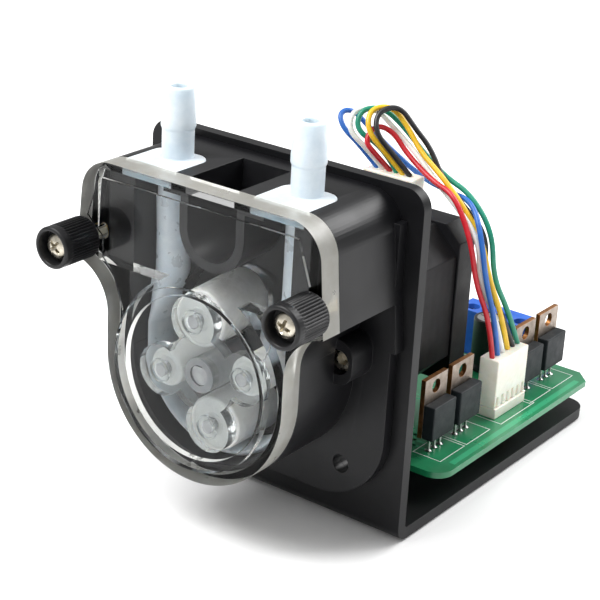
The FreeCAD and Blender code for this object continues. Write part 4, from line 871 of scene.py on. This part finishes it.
# %% Transistors
for number in range(1, 5):
    round_copy(f"transistor_case_{number}", 0.35, [EPOXY_BLACK], segments=3)
    tab = round_copy(f"transistor_metal_{number}", 0.08, [TINNED_COPPER, SHEARED_COPPER, TIN_SOLDER])
    count = len(tab.data.polygons)
    normals, centres = np.empty(count * 3), np.empty(count * 3)
    tab.data.polygons.foreach_get("normal", normals)
    tab.data.polygons.foreach_get("center", centres)
    normals, height = normals.reshape(-1, 3), centres.reshape(-1, 3)[:, 2] / MM
    kind = np.where(height < 14.4, 2, np.where(np.abs(normals[:, 0]) < 0.5, 1, 0))
    tab.data.polygons.foreach_set("material_index", kind.astype(np.int32))
print("transistors made: 4")

# %% [markdown]
# ## Connector and small parts
# The plug and header are white nylon. The small parts are ceramic blocks with tinned ends, the chip has bent
# legs, and the screws of the terminal block sit deep in their wells.

# %% Connector and terminals
round_copy("connector_plug", 0.3, [NYLON_WHITE], segments=3)
round_copy("connector_header", 0.25, [NYLON_WHITE], segments=3)
paint("connector_pins", TIN_SOLDER)
round_copy("terminal_block", 0.25, [TERMINAL_BLUE], segments=3)
round_copy("terminal_screws", 0.1, [ZINC_PLATE])
round_copy("driver_chip", 0.2, [EPOXY_BLACK])

legs = []
for pin in range(8):
    y = -0.5 + 1.27 * (pin - 3.5)
    for sign in (-1, 1):
        near, knee, far = 5.95 * sign, 6.6 * sign, 7.6 * sign
        inside = knee - 0.2 * sign
        legs.append((min(near, knee), y - 0.22, 11.3, max(near, knee), y + 0.22, 11.5))
        legs.append((min(knee, inside), y - 0.22, 10.42, max(knee, inside), y + 0.22, 11.5))
        legs.append((min(knee, far), y - 0.22, 10.42, max(knee, far), y + 0.22, 10.6))
make_piece("driver_chip_legs", blocks("driver_chip_legs", legs), [TIN_SOLDER], "frame")

small_places = [(-24, -17), (-24, -14), (-24, -11), (-18, -17), (-18, -14), (-18, -11),
                (-26, 23), (-26, 26), (-26, 29), (-12, 22), (-9, 22), (-12, 26),
                (14, -16), (14, -12), (10, 16), (14, 20), (20, 0), (20, 4)]
bodies_of_small = [(x - 0.6, y - 0.62, BOARD_TOP, x + 0.6, y + 0.62, 10.95) for x, y in small_places]
ends_of_small = [(x + s * 0.8 - 0.22, y - 0.64, BOARD_TOP, x + s * 0.8 + 0.22, y + 0.64, 10.97)
                 for x, y in small_places for s in (-1, 1)]
make_piece("chip_resistors", blocks("chip_resistors", bodies_of_small),
           [EPOXY_BLACK], "frame")
make_piece("chip_resistor_ends", blocks("chip_resistor_ends", ends_of_small),
           [TIN_SOLDER], "frame")
print("small parts:", len(small_places))

# %% [markdown]
# The capacitor's sleeve shrinks into the can's rolled groove and over the rim of its top. The top is bare
# metal, with a cross stamped in it that gives way if the can ever has to vent.

# %% Capacitor
CAPACITOR = (13.7, 32.5, BOARD_TOP)
can_profile = [(0.0, 0.0), (3.6, 0.0)] + corner((3.6, 0.4), 0.38, -90, 0, 3)
can_profile += [(3.98, 1.4), (3.75, 1.9), (3.98, 2.4), (3.98, 14.6)]
can_profile += corner((3.55, 14.85), 0.42, 0, 90, 4) + [(3.3, 15.25), (3.2, 15.05), (0.0, 15.05)]
make_piece("capacitor_sleeve", turned("capacitor_sleeve", can_profile, CAPACITOR, "z", 64, bored=False),
           [SLEEVE_BLACK], "frame", ["capacitor"])
top_profile = [(0.0, 15.0), (3.15, 15.0), (3.15, 15.1), (3.0, 15.2), (0.0, 15.2)]
make_piece("capacitor_top", turned("capacitor_top", top_profile, CAPACITOR, "z", 64, bored=False),
           [metal("aluminium_can", "#b4b5b5", "#cfd0d0", 0.25, 0.38, 3.0)], "frame")
across, along = CAPACITOR[:2]
vents = [(across - 2.6, along - 0.12, 25.59, across + 2.6, along + 0.12, 25.64),
         (across - 0.12, along - 2.6, 25.59, across + 0.12, along + 2.6, 25.64)]
make_piece("capacitor_vents", blocks("capacitor_vents", vents), [DARK_STEEL], "frame")
print("capacitor made")

# %% [markdown]
# ## Floor and light
# A product of mostly black plastic needs large soft lights: the black shows no colour of its own, only what
# it reflects. A white floor, an even sky, one large panel above and to the left and one behind draw the
# grey sheen on every top face and leave the fronts dark.

# %% Floor and lights
floor_mesh = bpy.data.meshes.new("floor")
FLOOR_HALF = 3
floor_corners = [(i * FLOOR_HALF, k * FLOOR_HALF, 0) for i, k in ((-1, -1), (1, -1), (1, 1), (-1, 1))]
floor_mesh.from_pydata(floor_corners, [], [(0, 1, 2, 3)])
floor = bpy.data.objects.new("floor", floor_mesh)
bpy.context.scene.collection.objects.link(floor)
floor.location.z = cad_low[2] - 0.0005
paper = surface("white_paper", Base_Color=linear("#fbfbfb"), Roughness=0.9)[0]
floor_mesh.materials.append(paper)

world = bpy.data.worlds.new("studio")
world.use_nodes = True
background = world.node_tree.nodes["Background"]
background.inputs["Color"].default_value = (1.0, 1.0, 1.0, 1.0)
background.inputs["Strength"].default_value = 0.58
bpy.context.scene.world = world
bpy.context.scene.view_settings.view_transform = "Standard"


def soft_light(name, place, target, size, watts):
    """A square panel of light of that size in metres, facing the target."""
    light_data = bpy.data.lights.new(name, "AREA")
    light_data.shape = "SQUARE"
    light_data.size = size
    light_data.energy = watts
    light = bpy.data.objects.new(name, light_data)
    bpy.context.scene.collection.objects.link(light)
    light.location = Vector(place)
    light.rotation_euler = (Vector(target) - Vector(place)).to_track_quat("-Z", "Y").to_euler()
    return light


soft_light("key_light", (-0.30, -0.45, 0.80), (0, -0.02, 0.04), 0.5, 10.0)
soft_light("back_light", (0.25, 0.55, 0.6), (0, 0, 0.06), 0.5, 6.0)
print("lights and floor ready")

# %% [markdown]
# ## The model's box
# Whatever was added must stay inside the model's own box; the model's box is written out, in millimetres.

# %% Sizes and finish
print("model box, mm:", [round(v / MM, 1) for v in (*cad_low, *cad_high)])
